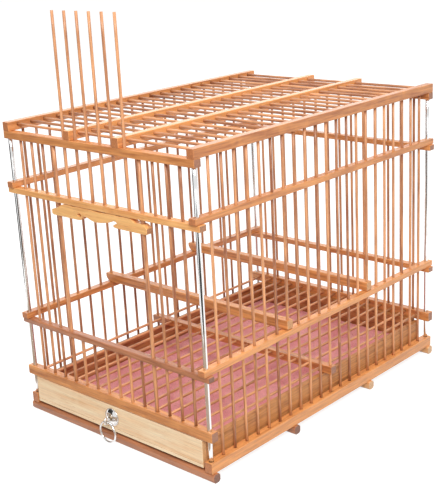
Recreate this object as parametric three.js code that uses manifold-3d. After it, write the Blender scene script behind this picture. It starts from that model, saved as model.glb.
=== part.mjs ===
// Canary breeding cage: round bars in square timber rails, a lifting bar door, a slide-out litter
// drawer with a ring pull, a bar floor and two fixed perches.
// Millimetres, +Z up, front at -Y. The origin is on the ground under the middle of the whole outline.
import * as THREE from "three";
import { mergeVertices } from "three/addons/utils/BufferGeometryUtils.js";
import Module from "manifold-3d";

const wasm = await Module();
wasm.setup();

// ---- Bar spacing: the corners of the grid are the four tie rods ----
const frontPitch = 15.3;
const frontSpaces = 15;
const sidePitch = 15.15;
const sideSpaces = 22;
const halfWidth = (frontPitch * frontSpaces) / 2;
const halfDepth = (sidePitch * sideSpaces) / 2;

// ---- Round stock ----
const barRadius = 1.3;
const stileRadius = 2;
const tieRadius = 2;
const barSides = 6;
const stileSides = 8;
const tieSides = 8;

// ---- Clearances ----
const fit = 0.3; // between touching pieces, and round a bar in its hole
const seat = 5; // depth of a blind hole in a thick rail
const shallowSeat = 3; // depth of a blind hole in a thin rail
const slideFit = 0.4; // between pieces that slide past each other

// ---- Timber sections ----
const railWidth = 7.8;
const railOverhang = 2; // past the outer face of the rail that it crosses
const railCorner = 0.9;
const cornerFacets = 1;
const baseRailWidth = 8.4;
const baseRailHeight = 10;
const skidWidth = 8;
const skidHeight = 8.2;
const skidChamfer = 1.8;
const middleSkidY = 58.5;
const lowerRailHeight = 8.9;
const thinShortHeight = 5.4; // the short rails at perch height and above the door
const thinLongHeight = 5.5;
const topShortHeight = 6.8;
const topLongHeight = 8.3;

// ---- Clear heights between the rails, from the skids up ----
const drawerBay = 29.3;
const lowerBand = 44.4;
const doorBand = 122.2;
const topBand = 39.7;

const frameZ = skidHeight;
const lowerZ = frameZ + drawerBay;
const middleShortZ = lowerZ + lowerRailHeight + lowerBand;
const middleLongZ = middleShortZ + thinShortHeight;
const upperShortZ = middleShortZ + thinShortHeight + doorBand;
const upperLongZ = upperShortZ + thinShortHeight;
const topShortZ = upperLongZ + thinLongHeight + topBand;
const topLongZ = topShortZ + topShortHeight;

// ---- Grille rods, measured up from the underside of the rail that holds them ----
const floorRodRise = 5.3;
const topRodRise = 5;
const middleBarHeight = 7.7;
const innerRailPitches = 2; // the inner top rails stand this many front spaces from the middle

// ---- Perches ----
const perchPlaces = [7, 15]; // the side bars that hold them, counted from the front
const perchWidth = 8;
const perchHeight = 8.6;
const perchChamfer = 5; // cut away under the left end
const perchSetIn = 1.1; // the square right end stops this far inside the rail's outer face

// ---- Door ----
const stilePlace = 4; // the front bar that serves as a stile, counted from each side
const doorHeadroom = 0.5; // the rest pose holds the door this far below the upper rail
const doorBoardEnd = 4.65; // wood past the guide hole round each stile
const doorBoardHeight = 11.7;
const doorBoardThickness = 6.4;
const doorRodEntry = 4.8; // how far the rods still stand in the top rail when the door is down

// ---- Drawer ----
const drawerSideClearance = 1.55;
const drawerHeadroom = 0.8;
const boardThickness = 5;
const boardDrop = 0.8; // the side boards stay this far below the front board's top
const panelThickness = 3;
const panelRise = 3; // the bottom panel above the side boards' lower edges
const linerThickness = 0.8;

// ---- Ring pull ----
const pullX = -2;
const pullRise = 17.7; // rosette centre above the frame's underside
const rosetteRadius = 8.6;
const rosetteRim = 0.7;
const rosetteHeight = 2.8;
const eyeRadius = 3;
const eyeWire = 0.8;
const eyeDrop = 1.5; // the eye hangs this far below the rosette's centre
const eyeNeck = 0.8;
const ringRadius = 9.9;
const ringWire = 0.9;
const pinLegLength = 7;
const pinLegThickness = 0.8;

// ---- Finishes ----
const finish = (color, roughness, metalness = 0) =>
  new THREE.MeshStandardMaterial({ color, roughness, metalness, flatShading: true });
const railTimber = finish(0xbd7343, 0.5);
const darkTimber = finish(0x8a5138, 0.5);
const barTimber = finish(0xc88450, 0.45);
const paleTimber = finish(0xd9975a, 0.5);
const pine = finish(0xe9cfa0, 0.6);
const drawerTimber = finish(0xa8774c, 0.6);
const linerPaper = finish(0xc07c7e, 0.8);
const chrome = finish(0xd8dadc, 0.15, 1);

// A closed three.js geometry as a solid.
function solidFrom(geometry) {
  geometry.deleteAttribute("normal");
  geometry.deleteAttribute("uv");
  const merged = mergeVertices(geometry, 1e-4);
  return new wasm.Manifold(
    new wasm.Mesh({
      numProp: 3,
      vertProperties: merged.attributes.position.array,
      triVerts: new Uint32Array(merged.index.array),
    }),
  );
}

// A named mesh of the solid, with its own finish, set down at a place.
function piece(name, solid, material, x, y, z) {
  const { vertProperties, triVerts } = solid.getMesh();
  const geometry = new THREE.BufferGeometry();
  geometry.setAttribute("position", new THREE.BufferAttribute(vertProperties, 3));
  geometry.setIndex(new THREE.BufferAttribute(triVerts, 1));
  geometry.computeVertexNormals();
  const mesh = new THREE.Mesh(geometry, material.clone());
  mesh.name = name;
  mesh.position.set(x, y, z);
  return mesh;
}

// Round stock along each axis: two coordinates of its line, then where it starts and ends.
function uprightRod(radius, sides, x, y, bottom, top) {
  const geometry = new THREE.CylinderGeometry(radius, radius, top - bottom, sides);
  geometry.rotateX(Math.PI / 2);
  geometry.translate(x, y, (bottom + top) / 2);
  return solidFrom(geometry);
}

function crossRod(radius, sides, y, z, left, right) {
  const geometry = new THREE.CylinderGeometry(radius, radius, right - left, sides);
  geometry.rotateZ(Math.PI / 2);
  geometry.translate((left + right) / 2, y, z);
  return solidFrom(geometry);
}

function lengthRod(radius, sides, x, z, front, back) {
  const geometry = new THREE.CylinderGeometry(radius, radius, back - front, sides);
  geometry.translate(x, (front + back) / 2, z);
  return solidFrom(geometry);
}

// A board with its underside at z = 0, centred in plan, its four upright corners rounded over.
function plank(lengthX, lengthY, height, corner = railCorner) {
  const x = lengthX / 2;
  const y = lengthY / 2;
  const outline = new THREE.Shape();
  outline.moveTo(corner - x, -y);
  outline.lineTo(x - corner, -y);
  outline.quadraticCurveTo(x, -y, x, corner - y);
  outline.lineTo(x, y - corner);
  outline.quadraticCurveTo(x, y, x - corner, y);
  outline.lineTo(corner - x, y);
  outline.quadraticCurveTo(-x, y, -x, y - corner);
  outline.lineTo(-x, corner - y);
  outline.quadraticCurveTo(-x, -y, corner - x, -y);
  const options = { depth: height, bevelEnabled: false, curveSegments: cornerFacets };
  return solidFrom(new THREE.ExtrudeGeometry(outline, options));
}

// An outline drawn with its own right and up directions and drawn out towards right x up,
// from `from` to `from + depth` along that direction.
function drawnOut(outline, right, up, from, depth, curveSegments = 4) {
  const geometry = new THREE.ExtrudeGeometry(outline, { depth, bevelEnabled: false, curveSegments });
  geometry.translate(0, 0, from);
  const outwards = new THREE.Vector3().crossVectors(right, up);
  geometry.applyMatrix4(new THREE.Matrix4().makeBasis(right, up, outwards));
  return solidFrom(geometry);
}

const alongX = new THREE.Vector3(1, 0, 0);
const alongY = new THREE.Vector3(0, 1, 0);
const alongZ = new THREE.Vector3(0, 0, 1);
const pitchRow = (count, first, pitch) => Array.from({ length: count }, (_, i) => first + i * pitch);
const cutAll = (solid, cutters) => cutters.reduce((rest, cutter) => rest.subtract(cutter), solid);
const joinAll = (solid, others) => others.reduce((whole, other) => whole.add(other), solid);

// ---- The rows that the bars stand in ----
const frontBarX = pitchRow(frontSpaces - 1, frontPitch - halfWidth, frontPitch);
const sideBarY = pitchRow(sideSpaces - 1, sidePitch - halfDepth, sidePitch);
const floorRodX = pitchRow(frontSpaces, frontPitch / 2 - halfWidth, frontPitch);
const topRodY = pitchRow(sideSpaces, sidePitch / 2 - halfDepth, sidePitch);
const stiles = [stilePlace - 1, frontSpaces - 1 - stilePlace];
const doorRodX = frontBarX.slice(stiles[0] + 1, stiles[1]);
const isStile = (place) => stiles.includes(place);
const isDoorRod = (place) => place > stiles[0] && place < stiles[1];
const tallPlaces = frontBarX.map((_, place) => place).filter((place) => !isDoorRod(place));
const stockRadius = (place) => (isStile(place) ? stileRadius : barRadius);
const stockSides = (place) => (isStile(place) ? stileSides : barSides);

// ---- Outer reaches of the rails ----
const railFace = railWidth / 2;
const shortLength = 2 * (halfWidth + railFace + railOverhang);
const longLength = 2 * (halfDepth + railFace + railOverhang);
const flushShortLength = 2 * (halfWidth + railFace);
const flushLongLength = 2 * (halfDepth + railFace);

// Holes through a rail of the given height, or blind ones from its underside or its top.
const throughHole = (radius, sides, x, y, height) =>
  uprightRod(radius + fit, sides, x, y, -fit, height + fit);
const lowerHole = (radius, sides, x, y, depth) => uprightRod(radius + fit, sides, x, y, -fit, depth);
const upperHole = (radius, sides, x, y, height, depth) =>
  uprightRod(radius + fit, sides, x, y, height - depth, height + fit);
const tieHolesAcross = (height) =>
  [-halfWidth, halfWidth].map((x) => throughHole(tieRadius, tieSides, x, 0, height));
const tieHolesAlong = (height) =>
  [-halfDepth, halfDepth].map((y) => throughHole(tieRadius, tieSides, 0, y, height));

// ---- Skids and tie rods ----
const skidSeat = skidHeight / 2;

function skid(name, y, material, holdsTies) {
  const section = new THREE.Shape();
  const half = skidWidth / 2;
  section.moveTo(skidChamfer - half, 0);
  section.lineTo(half - skidChamfer, 0);
  section.lineTo(half, skidChamfer);
  section.lineTo(half, skidHeight - skidChamfer);
  section.lineTo(half - skidChamfer, skidHeight);
  section.lineTo(skidChamfer - half, skidHeight);
  section.lineTo(-half, skidHeight - skidChamfer);
  section.lineTo(-half, skidChamfer);
  section.closePath();
  const blank = drawnOut(section, alongY, alongZ, -shortLength / 2, shortLength);
  const holes = [-halfWidth, halfWidth].map((x) =>
    upperHole(tieRadius, tieSides, x, 0, skidHeight, skidSeat),
  );
  return piece(name, holdsTies ? cutAll(blank, holes) : blank, material, 0, y, 0);
}

function tieRod(name, x, y) {
  const bottom = skidHeight - skidSeat + fit;
  const top = topLongZ + seat - fit;
  return piece(name, uprightRod(tieRadius, tieSides, 0, 0, 0, top - bottom), chrome, x, y, bottom);
}

const skids = new THREE.Group();
skids.add(skid("skid_front", -halfDepth, darkTimber, true));
skids.add(skid("skid_middle_front", -middleSkidY, darkTimber, false));
skids.add(skid("skid_middle_back", middleSkidY, railTimber, false));
skids.add(skid("skid_back", halfDepth, railTimber, true));

const tieRods = new THREE.Group();
tieRods.add(tieRod("tie_rod_front_left", -halfWidth, -halfDepth));
tieRods.add(tieRod("tie_rod_front_right", halfWidth, -halfDepth));
tieRods.add(tieRod("tie_rod_back_left", -halfWidth, halfDepth));
tieRods.add(tieRod("tie_rod_back_right", halfWidth, halfDepth));

// ---- Sides: each base rail carries its own bars; the other long rails are threaded on them ----
const sideBarTop = topLongZ + seat - fit;

function sideBars() {
  const foot = baseRailHeight - seat;
  const top = sideBarTop - frameZ;
  return sideBarY.map((y) => uprightRod(barRadius, barSides, 0, y, foot, top));
}

function baseRail(name, x) {
  const blank = plank(baseRailWidth, flushLongLength, baseRailHeight);
  const rail = cutAll(blank, tieHolesAlong(baseRailHeight));
  return piece(name, joinAll(rail, sideBars()), railTimber, x, 0, frameZ);
}

function threadedSideRail(name, x, z) {
  const blank = plank(railWidth, longLength, thinLongHeight);
  const holes = sideBarY.map((y) => throughHole(barRadius, barSides, 0, y, thinLongHeight));
  const rail = cutAll(blank, [...tieHolesAlong(thinLongHeight), ...holes]);
  return piece(name, rail, railTimber, x, 0, z);
}

// The outer top rail takes the side bars from below and the grille rods from its inner side.
function topRail(name, x) {
  const inwards = -Math.sign(x);
  const blank = plank(railWidth, flushLongLength, topLongHeight);
  const ties = [-halfDepth, halfDepth].map((y) => lowerHole(tieRadius, tieSides, 0, y, seat));
  const barHoles = sideBarY.map((y) => lowerHole(barRadius, barSides, 0, y, seat));
  const reach = [inwards * (railFace - seat), inwards * (railFace + fit)].sort((a, b) => a - b);
  const rodHoles = topRodY.map((y) =>
    crossRod(barRadius + fit, barSides, y, topRodRise, reach[0], reach[1]),
  );
  return piece(name, cutAll(blank, [...ties, ...barHoles, ...rodHoles]), railTimber, x, 0, topLongZ);
}

const sides = new THREE.Group();
for (const [side, x] of [["left", -halfWidth], ["right", halfWidth]]) {
  sides.add(baseRail(`base_rail_${side}`, x));
  sides.add(threadedSideRail(`side_rail_middle_${side}`, x, middleLongZ));
  sides.add(threadedSideRail(`side_rail_upper_${side}`, x, upperLongZ));
  sides.add(topRail(`top_rail_${side}`, x));
}

// ---- Front and back: short rails with a row of bars ----
const barHole = (place, height) =>
  throughHole(stockRadius(place), stockSides(place), frontBarX[place], 0, height);

// The lower rails hold the floor rods on their inner side, which is `inwards` along Y.
function floorRodHoles(inwards) {
  const reach = [inwards * (railFace - seat), inwards * (railFace + fit)].sort((a, b) => a - b);
  return floorRodX.map((x) =>
    lengthRod(barRadius + fit, barSides, x, floorRodRise, reach[0], reach[1]),
  );
}

function lowerFrontRail() {
  const blank = plank(shortLength, railWidth, lowerRailHeight);
  const holes = frontBarX.map((x, place) =>
    upperHole(stockRadius(place), stockSides(place), x, 0, lowerRailHeight, seat),
  );
  const rail = cutAll(blank, [...tieHolesAcross(lowerRailHeight), ...holes, ...floorRodHoles(1)]);
  return piece("front_rail_lower", rail, railTimber, 0, -halfDepth, lowerZ);
}

// The tall bars pass through the middle rail; the short ones under the door end inside it.
function middleFrontRail() {
  const blank = plank(shortLength, railWidth, thinShortHeight);
  const tall = tallPlaces.map((place) => barHole(place, thinShortHeight));
  const short = doorRodX.map((x) => lowerHole(barRadius, barSides, x, 0, shallowSeat));
  const rail = cutAll(blank, [...tieHolesAcross(thinShortHeight), ...tall, ...short]);
  return piece("front_rail_middle", rail, darkTimber, 0, -halfDepth, middleShortZ);
}

function upperFrontRail() {
  const blank = plank(shortLength, railWidth, thinShortHeight);
  const holes = frontBarX.map((_, place) => barHole(place, thinShortHeight));
  const rail = cutAll(blank, [...tieHolesAcross(thinShortHeight), ...holes]);
  return piece("front_rail_upper", rail, paleTimber, 0, -halfDepth, upperShortZ);
}

// The fixed bars end in the top rail; the door's rods pass through it.
function topFrontRail() {
  const blank = plank(flushShortLength, railWidth, topShortHeight);
  const fixed = tallPlaces.map((place) =>
    lowerHole(stockRadius(place), stockSides(place), frontBarX[place], 0, seat),
  );
  const guides = doorRodX.map((x) => throughHole(barRadius, barSides, x, 0, topShortHeight));
  const rail = cutAll(blank, [...tieHolesAcross(topShortHeight), ...fixed, ...guides]);
  return piece("front_rail_top", rail, railTimber, 0, -halfDepth, topShortZ);
}

const frontBarFoot = lowerZ + lowerRailHeight - seat + fit;
const frontBarTop = topShortZ + seat - fit;

function tallFrontBar(name, place) {
  const bar = uprightRod(stockRadius(place), stockSides(place), 0, 0, 0, frontBarTop - frontBarFoot);
  return piece(name, bar, barTimber, frontBarX[place], -halfDepth, frontBarFoot);
}

function shortFrontBar(name, x) {
  const top = middleShortZ + shallowSeat - fit;
  const bar = uprightRod(barRadius, barSides, 0, 0, 0, top - frontBarFoot);
  return piece(name, bar, barTimber, x, -halfDepth, frontBarFoot);
}

const front = new THREE.Group();
front.add(lowerFrontRail());
front.add(middleFrontRail());
front.add(upperFrontRail());
front.add(topFrontRail());
for (const place of tallPlaces) {
  const name = isStile(place) ? `door_stile_${place + 1}` : `front_bar_${place + 1}`;
  front.add(tallFrontBar(name, place));
}
doorRodX.forEach((x, i) => front.add(shortFrontBar(`short_bar_${i + 1}`, x)));

// The lower back rail carries the back bars.
function lowerBackRail() {
  const blank = plank(shortLength, railWidth, lowerRailHeight);
  const rail = cutAll(blank, [...tieHolesAcross(lowerRailHeight), ...floorRodHoles(-1)]);
  const foot = lowerRailHeight - shallowSeat;
  const bars = frontBarX.map((x) =>
    uprightRod(barRadius, barSides, x, 0, foot, frontBarTop - lowerZ),
  );
  return piece("back_rail_lower", joinAll(rail, bars), railTimber, 0, halfDepth, lowerZ);
}

function threadedBackRail(name, z) {
  const blank = plank(shortLength, railWidth, thinShortHeight);
  const holes = frontBarX.map((x) => throughHole(barRadius, barSides, x, 0, thinShortHeight));
  const rail = cutAll(blank, [...tieHolesAcross(thinShortHeight), ...holes]);
  return piece(name, rail, railTimber, 0, halfDepth, z);
}

function topBackRail() {
  const blank = plank(flushShortLength, railWidth, topShortHeight);
  const holes = frontBarX.map((x) => lowerHole(barRadius, barSides, x, 0, seat));
  const rail = cutAll(blank, [...tieHolesAcross(topShortHeight), ...holes]);
  return piece("back_rail_top", rail, railTimber, 0, halfDepth, topShortZ);
}

const back = new THREE.Group();
back.add(lowerBackRail());
back.add(threadedBackRail("back_rail_middle", middleShortZ));
back.add(threadedBackRail("back_rail_upper", upperShortZ));
back.add(topBackRail());

// ---- Top grille: rods through two inner rails, their ends in the outer rails ----
function topGrille() {
  const rodReach = halfWidth - railFace + seat - fit;
  const railX = innerRailPitches * frontPitch;
  const left = plank(railWidth, flushLongLength, topLongHeight).translate([-railX, 0, 0]);
  const right = plank(railWidth, flushLongLength, topLongHeight).translate([railX, 0, 0]);
  const rods = topRodY.map((y) =>
    crossRod(barRadius, barSides, y, topRodRise, -rodReach, rodReach),
  );
  return piece("top_grille", joinAll(left.add(right), rods), railTimber, 0, 0, topLongZ);
}

// ---- Bar floor: rods through a middle bar, their ends in the lower rails ----
function floorGrille() {
  const rodReach = halfDepth - railFace + seat - fit;
  const blank = plank(flushShortLength, railWidth, middleBarHeight);
  const rods = floorRodX.map((x) =>
    lengthRod(barRadius, barSides, x, floorRodRise, -rodReach, rodReach),
  );
  const holes = [-halfWidth, halfWidth].map((x) =>
    throughHole(barRadius, barSides, x, 0, middleBarHeight),
  );
  return piece("floor_grille", joinAll(cutAll(blank, holes), rods), barTimber, 0, 0, lowerZ);
}

// ---- Perches: each is threaded on a side bar at both ends, its left end cut away underneath ----
function perch(name, place) {
  const end = halfWidth + railFace;
  const heel = halfWidth - railFace;
  const spread = end - heel;
  const outline = new THREE.Shape();
  outline.moveTo(-heel, 0);
  outline.lineTo(end - perchSetIn, 0);
  outline.lineTo(end - perchSetIn, perchHeight);
  outline.lineTo(-end, perchHeight);
  outline.lineTo(-end, perchChamfer);
  outline.quadraticCurveTo(-heel - 0.6 * spread, 0.35 * perchChamfer, -heel, 0);
  const blank = drawnOut(outline, alongX, alongZ, -perchWidth / 2, perchWidth);
  const holes = [-halfWidth, halfWidth].map((x) =>
    throughHole(barRadius, barSides, x, 0, perchHeight),
  );
  const z = middleLongZ + thinLongHeight + fit;
  return piece(name, cutAll(blank, holes), railTimber, 0, sideBarY[place - 1], z);
}

const inside = new THREE.Group();
inside.add(topGrille());
inside.add(floorGrille());
inside.add(perch("perch_front", perchPlaces[0]));
inside.add(perch("perch_back", perchPlaces[1]));

// ---- Door: a fretted board on the stiles, the finger grip, and six rods up through two rails ----
const doorZ = upperShortZ - doorHeadroom - doorBoardHeight;
const stileX = halfWidth - stilePlace * frontPitch;
const doorBoardHalfLength = stileX + stileRadius + slideFit + doorBoardEnd;
const doorClosedZ = middleShortZ + thinShortHeight + fit;
const doorTravel = doorZ - doorClosedZ;
const doorRodTop = topShortZ + doorRodEntry + doorTravel;

// The board's outline, as a fraction of its half length and height: a ramp up from the left end,
// three shallow scallops, an S-shaped drop to the right shoulder, and a lower edge with a hooked
// step, a belly and a notch.
function doorBoardOutline() {
  const u = (share) => share * doorBoardHalfLength;
  const w = (share) => share * doorBoardHeight;
  const outline = new THREE.Shape();
  const straight = (x, z) => outline.lineTo(u(x), w(z));
  const curve = (cx, cz, x, z) => outline.quadraticCurveTo(u(cx), w(cz), u(x), w(z));
  outline.moveTo(u(-1), w(0.14));
  straight(-1, 0.42);
  curve(-0.93, 0.52, -0.87, 0.63);
  curve(-0.81, 0.8, -0.77, 0.91);
  curve(-0.72, 1, -0.66, 1);
  straight(-0.6, 1);
  curve(-0.53, 0.9, -0.45, 1);
  straight(-0.13, 1);
  curve(0.05, 0.88, 0.23, 1);
  straight(0.38, 1);
  curve(0.46, 0.9, 0.54, 1);
  straight(0.65, 1);
  curve(0.69, 0.98, 0.72, 0.86);
  curve(0.745, 0.72, 0.8, 0.71);
  curve(0.86, 0.78, 0.92, 0.73);
  curve(0.98, 0.6, 1, 0.36);
  curve(1, 0.02, 0.965, 0.01);
  straight(0.39, 0.01);
  curve(0.325, 0.03, 0.315, 0.16);
  curve(0.34, 0.3, 0.395, 0.37);
  curve(0.405, 0.49, 0.325, 0.51);
  curve(0.28, 0.36, 0.18, 0.26);
  curve(0.06, 0.13, -0.05, 0.11);
  curve(-0.13, 0.14, -0.2, 0.3);
  curve(-0.26, 0.38, -0.3, 0.365);
  curve(-0.335, 0.3, -0.35, 0.1);
  curve(-0.37, 0, -0.43, 0);
  straight(-0.95, 0);
  curve(-0.995, 0.01, -1, 0.14);
  return outline;
}

// The board slides on the stiles and holds the rods; a slit eye is pierced above its notch.
function doorBoard() {
  const outline = doorBoardOutline();
  const eye = new THREE.Path();
  const eyeX = -0.39 * doorBoardHalfLength;
  const eyeHeight = 0.4 * doorBoardHeight;
  const eyeHalfWidth = 2.7;
  const eyeHalfHeight = 1.25;
  eye.absellipse(eyeX, eyeHeight, eyeHalfWidth, eyeHalfHeight, 0, 2 * Math.PI, false, 0);
  outline.holes.push(eye);
  const blank = drawnOut(outline, alongX, alongZ, -doorBoardThickness / 2, doorBoardThickness, 3);
  const guides = stiles.map((place) =>
    uprightRod(stileRadius + slideFit, stileSides, frontBarX[place], 0, -fit, doorBoardHeight + fit),
  );
  const sockets = doorRodX.map((x) =>
    upperHole(barRadius, barSides, x, 0, doorBoardHeight, seat),
  );
  return piece("door_board", cutAll(blank, [...guides, ...sockets]), paleTimber, 0, -halfDepth, doorZ);
}

function doorRod(name, x) {
  const foot = doorZ + doorBoardHeight - seat + fit;
  const rod = uprightRod(barRadius, barSides, 0, 0, 0, doorRodTop - foot);
  return piece(name, rod, barTimber, x, -halfDepth, foot);
}

const door = new THREE.Group();
door.add(doorBoard());
doorRodX.forEach((x, i) => door.add(doorRod(`door_rod_${i + 1}`, x)));

// ---- Drawer: runs on the skids between the base rails ----
const drawerHalfWidth = halfWidth - baseRailWidth / 2 - drawerSideClearance;
const drawerFront = halfDepth + railFace;
const drawerBack = halfDepth - railFace;
const innerHalfWidth = drawerHalfWidth - boardThickness;
const sideBoardZ = frameZ + fit;
const panelZ = sideBoardZ + panelRise;
const boardZ = panelZ + panelThickness + fit;
const boardTop = frameZ + drawerBay - drawerHeadroom;
const boardInner = drawerFront - boardThickness;
const boardCorner = 0.4;
const pullZ = frameZ + pullRise;
const pinHoleRadius = eyeWire + fit;
const pinSides = 8;

function drawerFrontBoard() {
  const blank = plank(2 * drawerHalfWidth, boardThickness, boardTop - boardZ, boardCorner);
  const pinZ = pullZ - eyeDrop - boardZ;
  const hole = lengthRod(pinHoleRadius, pinSides, pullX, pinZ, -boardThickness, boardThickness);
  const y = boardThickness / 2 - drawerFront;
  return piece("drawer_front", blank.subtract(hole), pine, 0, y, boardZ);
}

function drawerSideBoard(name, x) {
  const length = drawerBack + boardInner - fit;
  const board = plank(boardThickness, length, boardTop - boardDrop - sideBoardZ, boardCorner);
  return piece(name, board, drawerTimber, x, drawerBack - length / 2, sideBoardZ);
}

// The back board closes the bay up to the lower back rail.
function drawerBackBoard() {
  const width = 2 * (innerHalfWidth - fit);
  const board = plank(width, boardThickness, lowerZ - slideFit - boardZ, boardCorner);
  return piece("drawer_back", board, drawerTimber, 0, drawerBack - boardThickness / 2, boardZ);
}

// The panel fills the tray and widens under the front board, where its edge shows.
function drawerPanel() {
  const tray = innerHalfWidth - fit;
  const outline = new THREE.Shape();
  outline.moveTo(-drawerHalfWidth, -drawerFront);
  outline.lineTo(drawerHalfWidth, -drawerFront);
  outline.lineTo(drawerHalfWidth, -boardInner);
  outline.lineTo(tray, -boardInner);
  outline.lineTo(tray, drawerBack);
  outline.lineTo(-tray, drawerBack);
  outline.lineTo(-tray, -boardInner);
  outline.lineTo(-drawerHalfWidth, -boardInner);
  outline.closePath();
  return piece("drawer_panel", drawnOut(outline, alongX, alongY, 0, panelThickness), pine, 0, 0, panelZ);
}

function drawerLiner() {
  const width = 2 * (innerHalfWidth - fit);
  const front = boardInner - fit;
  const backEdge = drawerBack - boardThickness - fit;
  const sheet = plank(width, front + backEdge, linerThickness, boardCorner);
  return piece("drawer_liner", sheet, linerPaper, 0, (backEdge - front) / 2, boardZ);
}

// ---- Ring pull: a domed rosette, a split-pin eye through the board, and the loose ring ----
const rosetteSegments = 18;
const wireSides = 6;
const eyeSegments = 12;
const ringSegments = 28;
const eyeZ = pullZ - eyeDrop;
const eyeY = -(drawerFront + fit + rosetteHeight + eyeNeck + eyeRadius);
const eyeHole = eyeRadius - eyeWire;
const ringTopZ = eyeZ - (eyeHole - ringWire - fit);

function pullRosette() {
  const rim = rosetteRadius;
  const hole = eyeDrop + pinHoleRadius + fit;
  const profile = [
    [hole, 0],
    [rim, 0],
    [rim, rosetteRim],
    [0.9 * rim, 0.55 * rosetteHeight],
    [0.7 * rim, 0.8 * rosetteHeight],
    [0.45 * rim, 0.95 * rosetteHeight],
    [hole, rosetteHeight],
    [hole, 0],
  ].map(([radius, height]) => new THREE.Vector2(radius, height));
  const geometry = new THREE.LatheGeometry(profile, rosetteSegments);
  geometry.rotateX(Math.PI);
  return piece("pull_rosette", solidFrom(geometry), chrome, pullX, -drawerFront - fit, pullZ);
}

function pullEye() {
  const loop = new THREE.TorusGeometry(eyeRadius, eyeWire, wireSides, eyeSegments);
  loop.rotateY(Math.PI / 2);
  const boardBack = -boardInner - eyeY;
  const legY = boardBack + fit;
  const shank = lengthRod(eyeWire, pinSides, 0, 0, eyeRadius, legY + pinLegThickness);
  const legs = new THREE.BoxGeometry(2 * eyeWire, pinLegThickness, 2 * pinLegLength);
  legs.translate(0, legY + pinLegThickness / 2, 0);
  const solid = joinAll(solidFrom(loop), [shank, solidFrom(legs)]);
  return piece("pull_eye", solid, chrome, pullX, eyeY, eyeZ);
}

function pullRing() {
  const geometry = new THREE.TorusGeometry(ringRadius, ringWire, wireSides, ringSegments);
  geometry.rotateX(Math.PI / 2);
  return piece("pull_ring", solidFrom(geometry), chrome, pullX, eyeY, ringTopZ - ringRadius);
}

const drawer = new THREE.Group();
drawer.add(drawerFrontBoard());
drawer.add(drawerSideBoard("drawer_side_left", boardThickness / 2 - drawerHalfWidth));
drawer.add(drawerSideBoard("drawer_side_right", drawerHalfWidth - boardThickness / 2));
drawer.add(drawerBackBoard());
drawer.add(drawerPanel());
drawer.add(drawerLiner());
drawer.add(pullRosette());
drawer.add(pullEye());
drawer.add(pullRing());

// ---- The whole cage, set back so that the origin is under the middle of its outline ----
const frontReach = -eyeY + eyeRadius + eyeWire;
const backReach = longLength / 2;
const cage = new THREE.Group();
cage.position.y = (frontReach - backReach) / 2;
cage.add(skids, tieRods, sides, front, back, inside, door, drawer);

export default cage;
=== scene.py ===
"""Canary breeding cage, dressed: turned bars in varnished rails, a lifting bar door with a fretted
grip, a pine-fronted litter drawer with a ring pull, a bar floor and two fixed perches.

Sizes are in millimetres in the record's frame (+Z up, front at -Y) and become metres when a mesh
is finished.
"""
import logging
import math
from dataclasses import dataclass, field
from enum import Enum

import bmesh
import bpy
from mathutils import Matrix, Vector


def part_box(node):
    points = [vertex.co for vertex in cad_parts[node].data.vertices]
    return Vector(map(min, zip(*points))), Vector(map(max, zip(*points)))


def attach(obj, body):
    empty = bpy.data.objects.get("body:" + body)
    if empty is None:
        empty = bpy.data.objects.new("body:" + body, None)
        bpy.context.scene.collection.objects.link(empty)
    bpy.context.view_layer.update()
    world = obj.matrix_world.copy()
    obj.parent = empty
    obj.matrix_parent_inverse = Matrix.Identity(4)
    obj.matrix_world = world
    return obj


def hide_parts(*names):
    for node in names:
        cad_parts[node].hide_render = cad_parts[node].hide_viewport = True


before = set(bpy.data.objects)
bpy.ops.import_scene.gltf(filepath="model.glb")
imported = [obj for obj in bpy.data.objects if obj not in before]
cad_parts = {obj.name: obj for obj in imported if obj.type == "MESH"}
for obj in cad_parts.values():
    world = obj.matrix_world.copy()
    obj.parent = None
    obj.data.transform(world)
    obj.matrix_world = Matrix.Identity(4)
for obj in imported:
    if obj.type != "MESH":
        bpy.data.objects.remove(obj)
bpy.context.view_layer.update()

MM = 0.001  # a millimetre in metres
SEED = 11
PAST = 1.0  # how far a cutter runs past a face
HOLE_FACETS = 16
CREASE = 40.0  # edges sharper than this many degrees stay sharp
NOISE_SPAN = (0.3, 0.7)  # nearly all values of a noise pattern lie between these
log = logging.getLogger("cage")

Colour = tuple[int, int, int]


class Grain(Enum):
    """The direction that a piece's grain runs in."""

    ACROSS = 0
    LENGTHWISE = 1
    UPRIGHT = 2

    @property
    def direction(self) -> Vector:
        """The unit vector along the grain."""
        return Vector([1.0 if i == self.value else 0.0 for i in range(3)])

    @property
    def turn(self) -> tuple[float, float, float]:
        """The Euler angles that lay an upright bar along the grain."""
        quarter = math.pi / 2
        return ((0.0, quarter, 0.0), (quarter, 0.0, 0.0), (0.0, 0.0, 0.0))[self.value]


class Side(Enum):
    """The left or right wall, seen from the front."""

    LEFT = "left"
    RIGHT = "right"

    @property
    def sign(self) -> int:
        """-1 on the left and 1 on the right."""
        return -1 if self is Side.LEFT else 1


# ---------------------------------------------------------------- node wiring


def linear(colour: Colour) -> tuple[float, float, float, float]:
    """An 8-bit display colour as linear light.

    Args:
        colour: red, green and blue from 0 to 255.

    Returns:
        Linear red, green, blue and an alpha of 1.
    """
    shares = [c / 255 for c in colour]
    light = [s / 12.92 if s <= 0.04045 else ((s + 0.055) / 1.055) ** 2.4 for s in shares]
    return (*light, 1.0)


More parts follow.
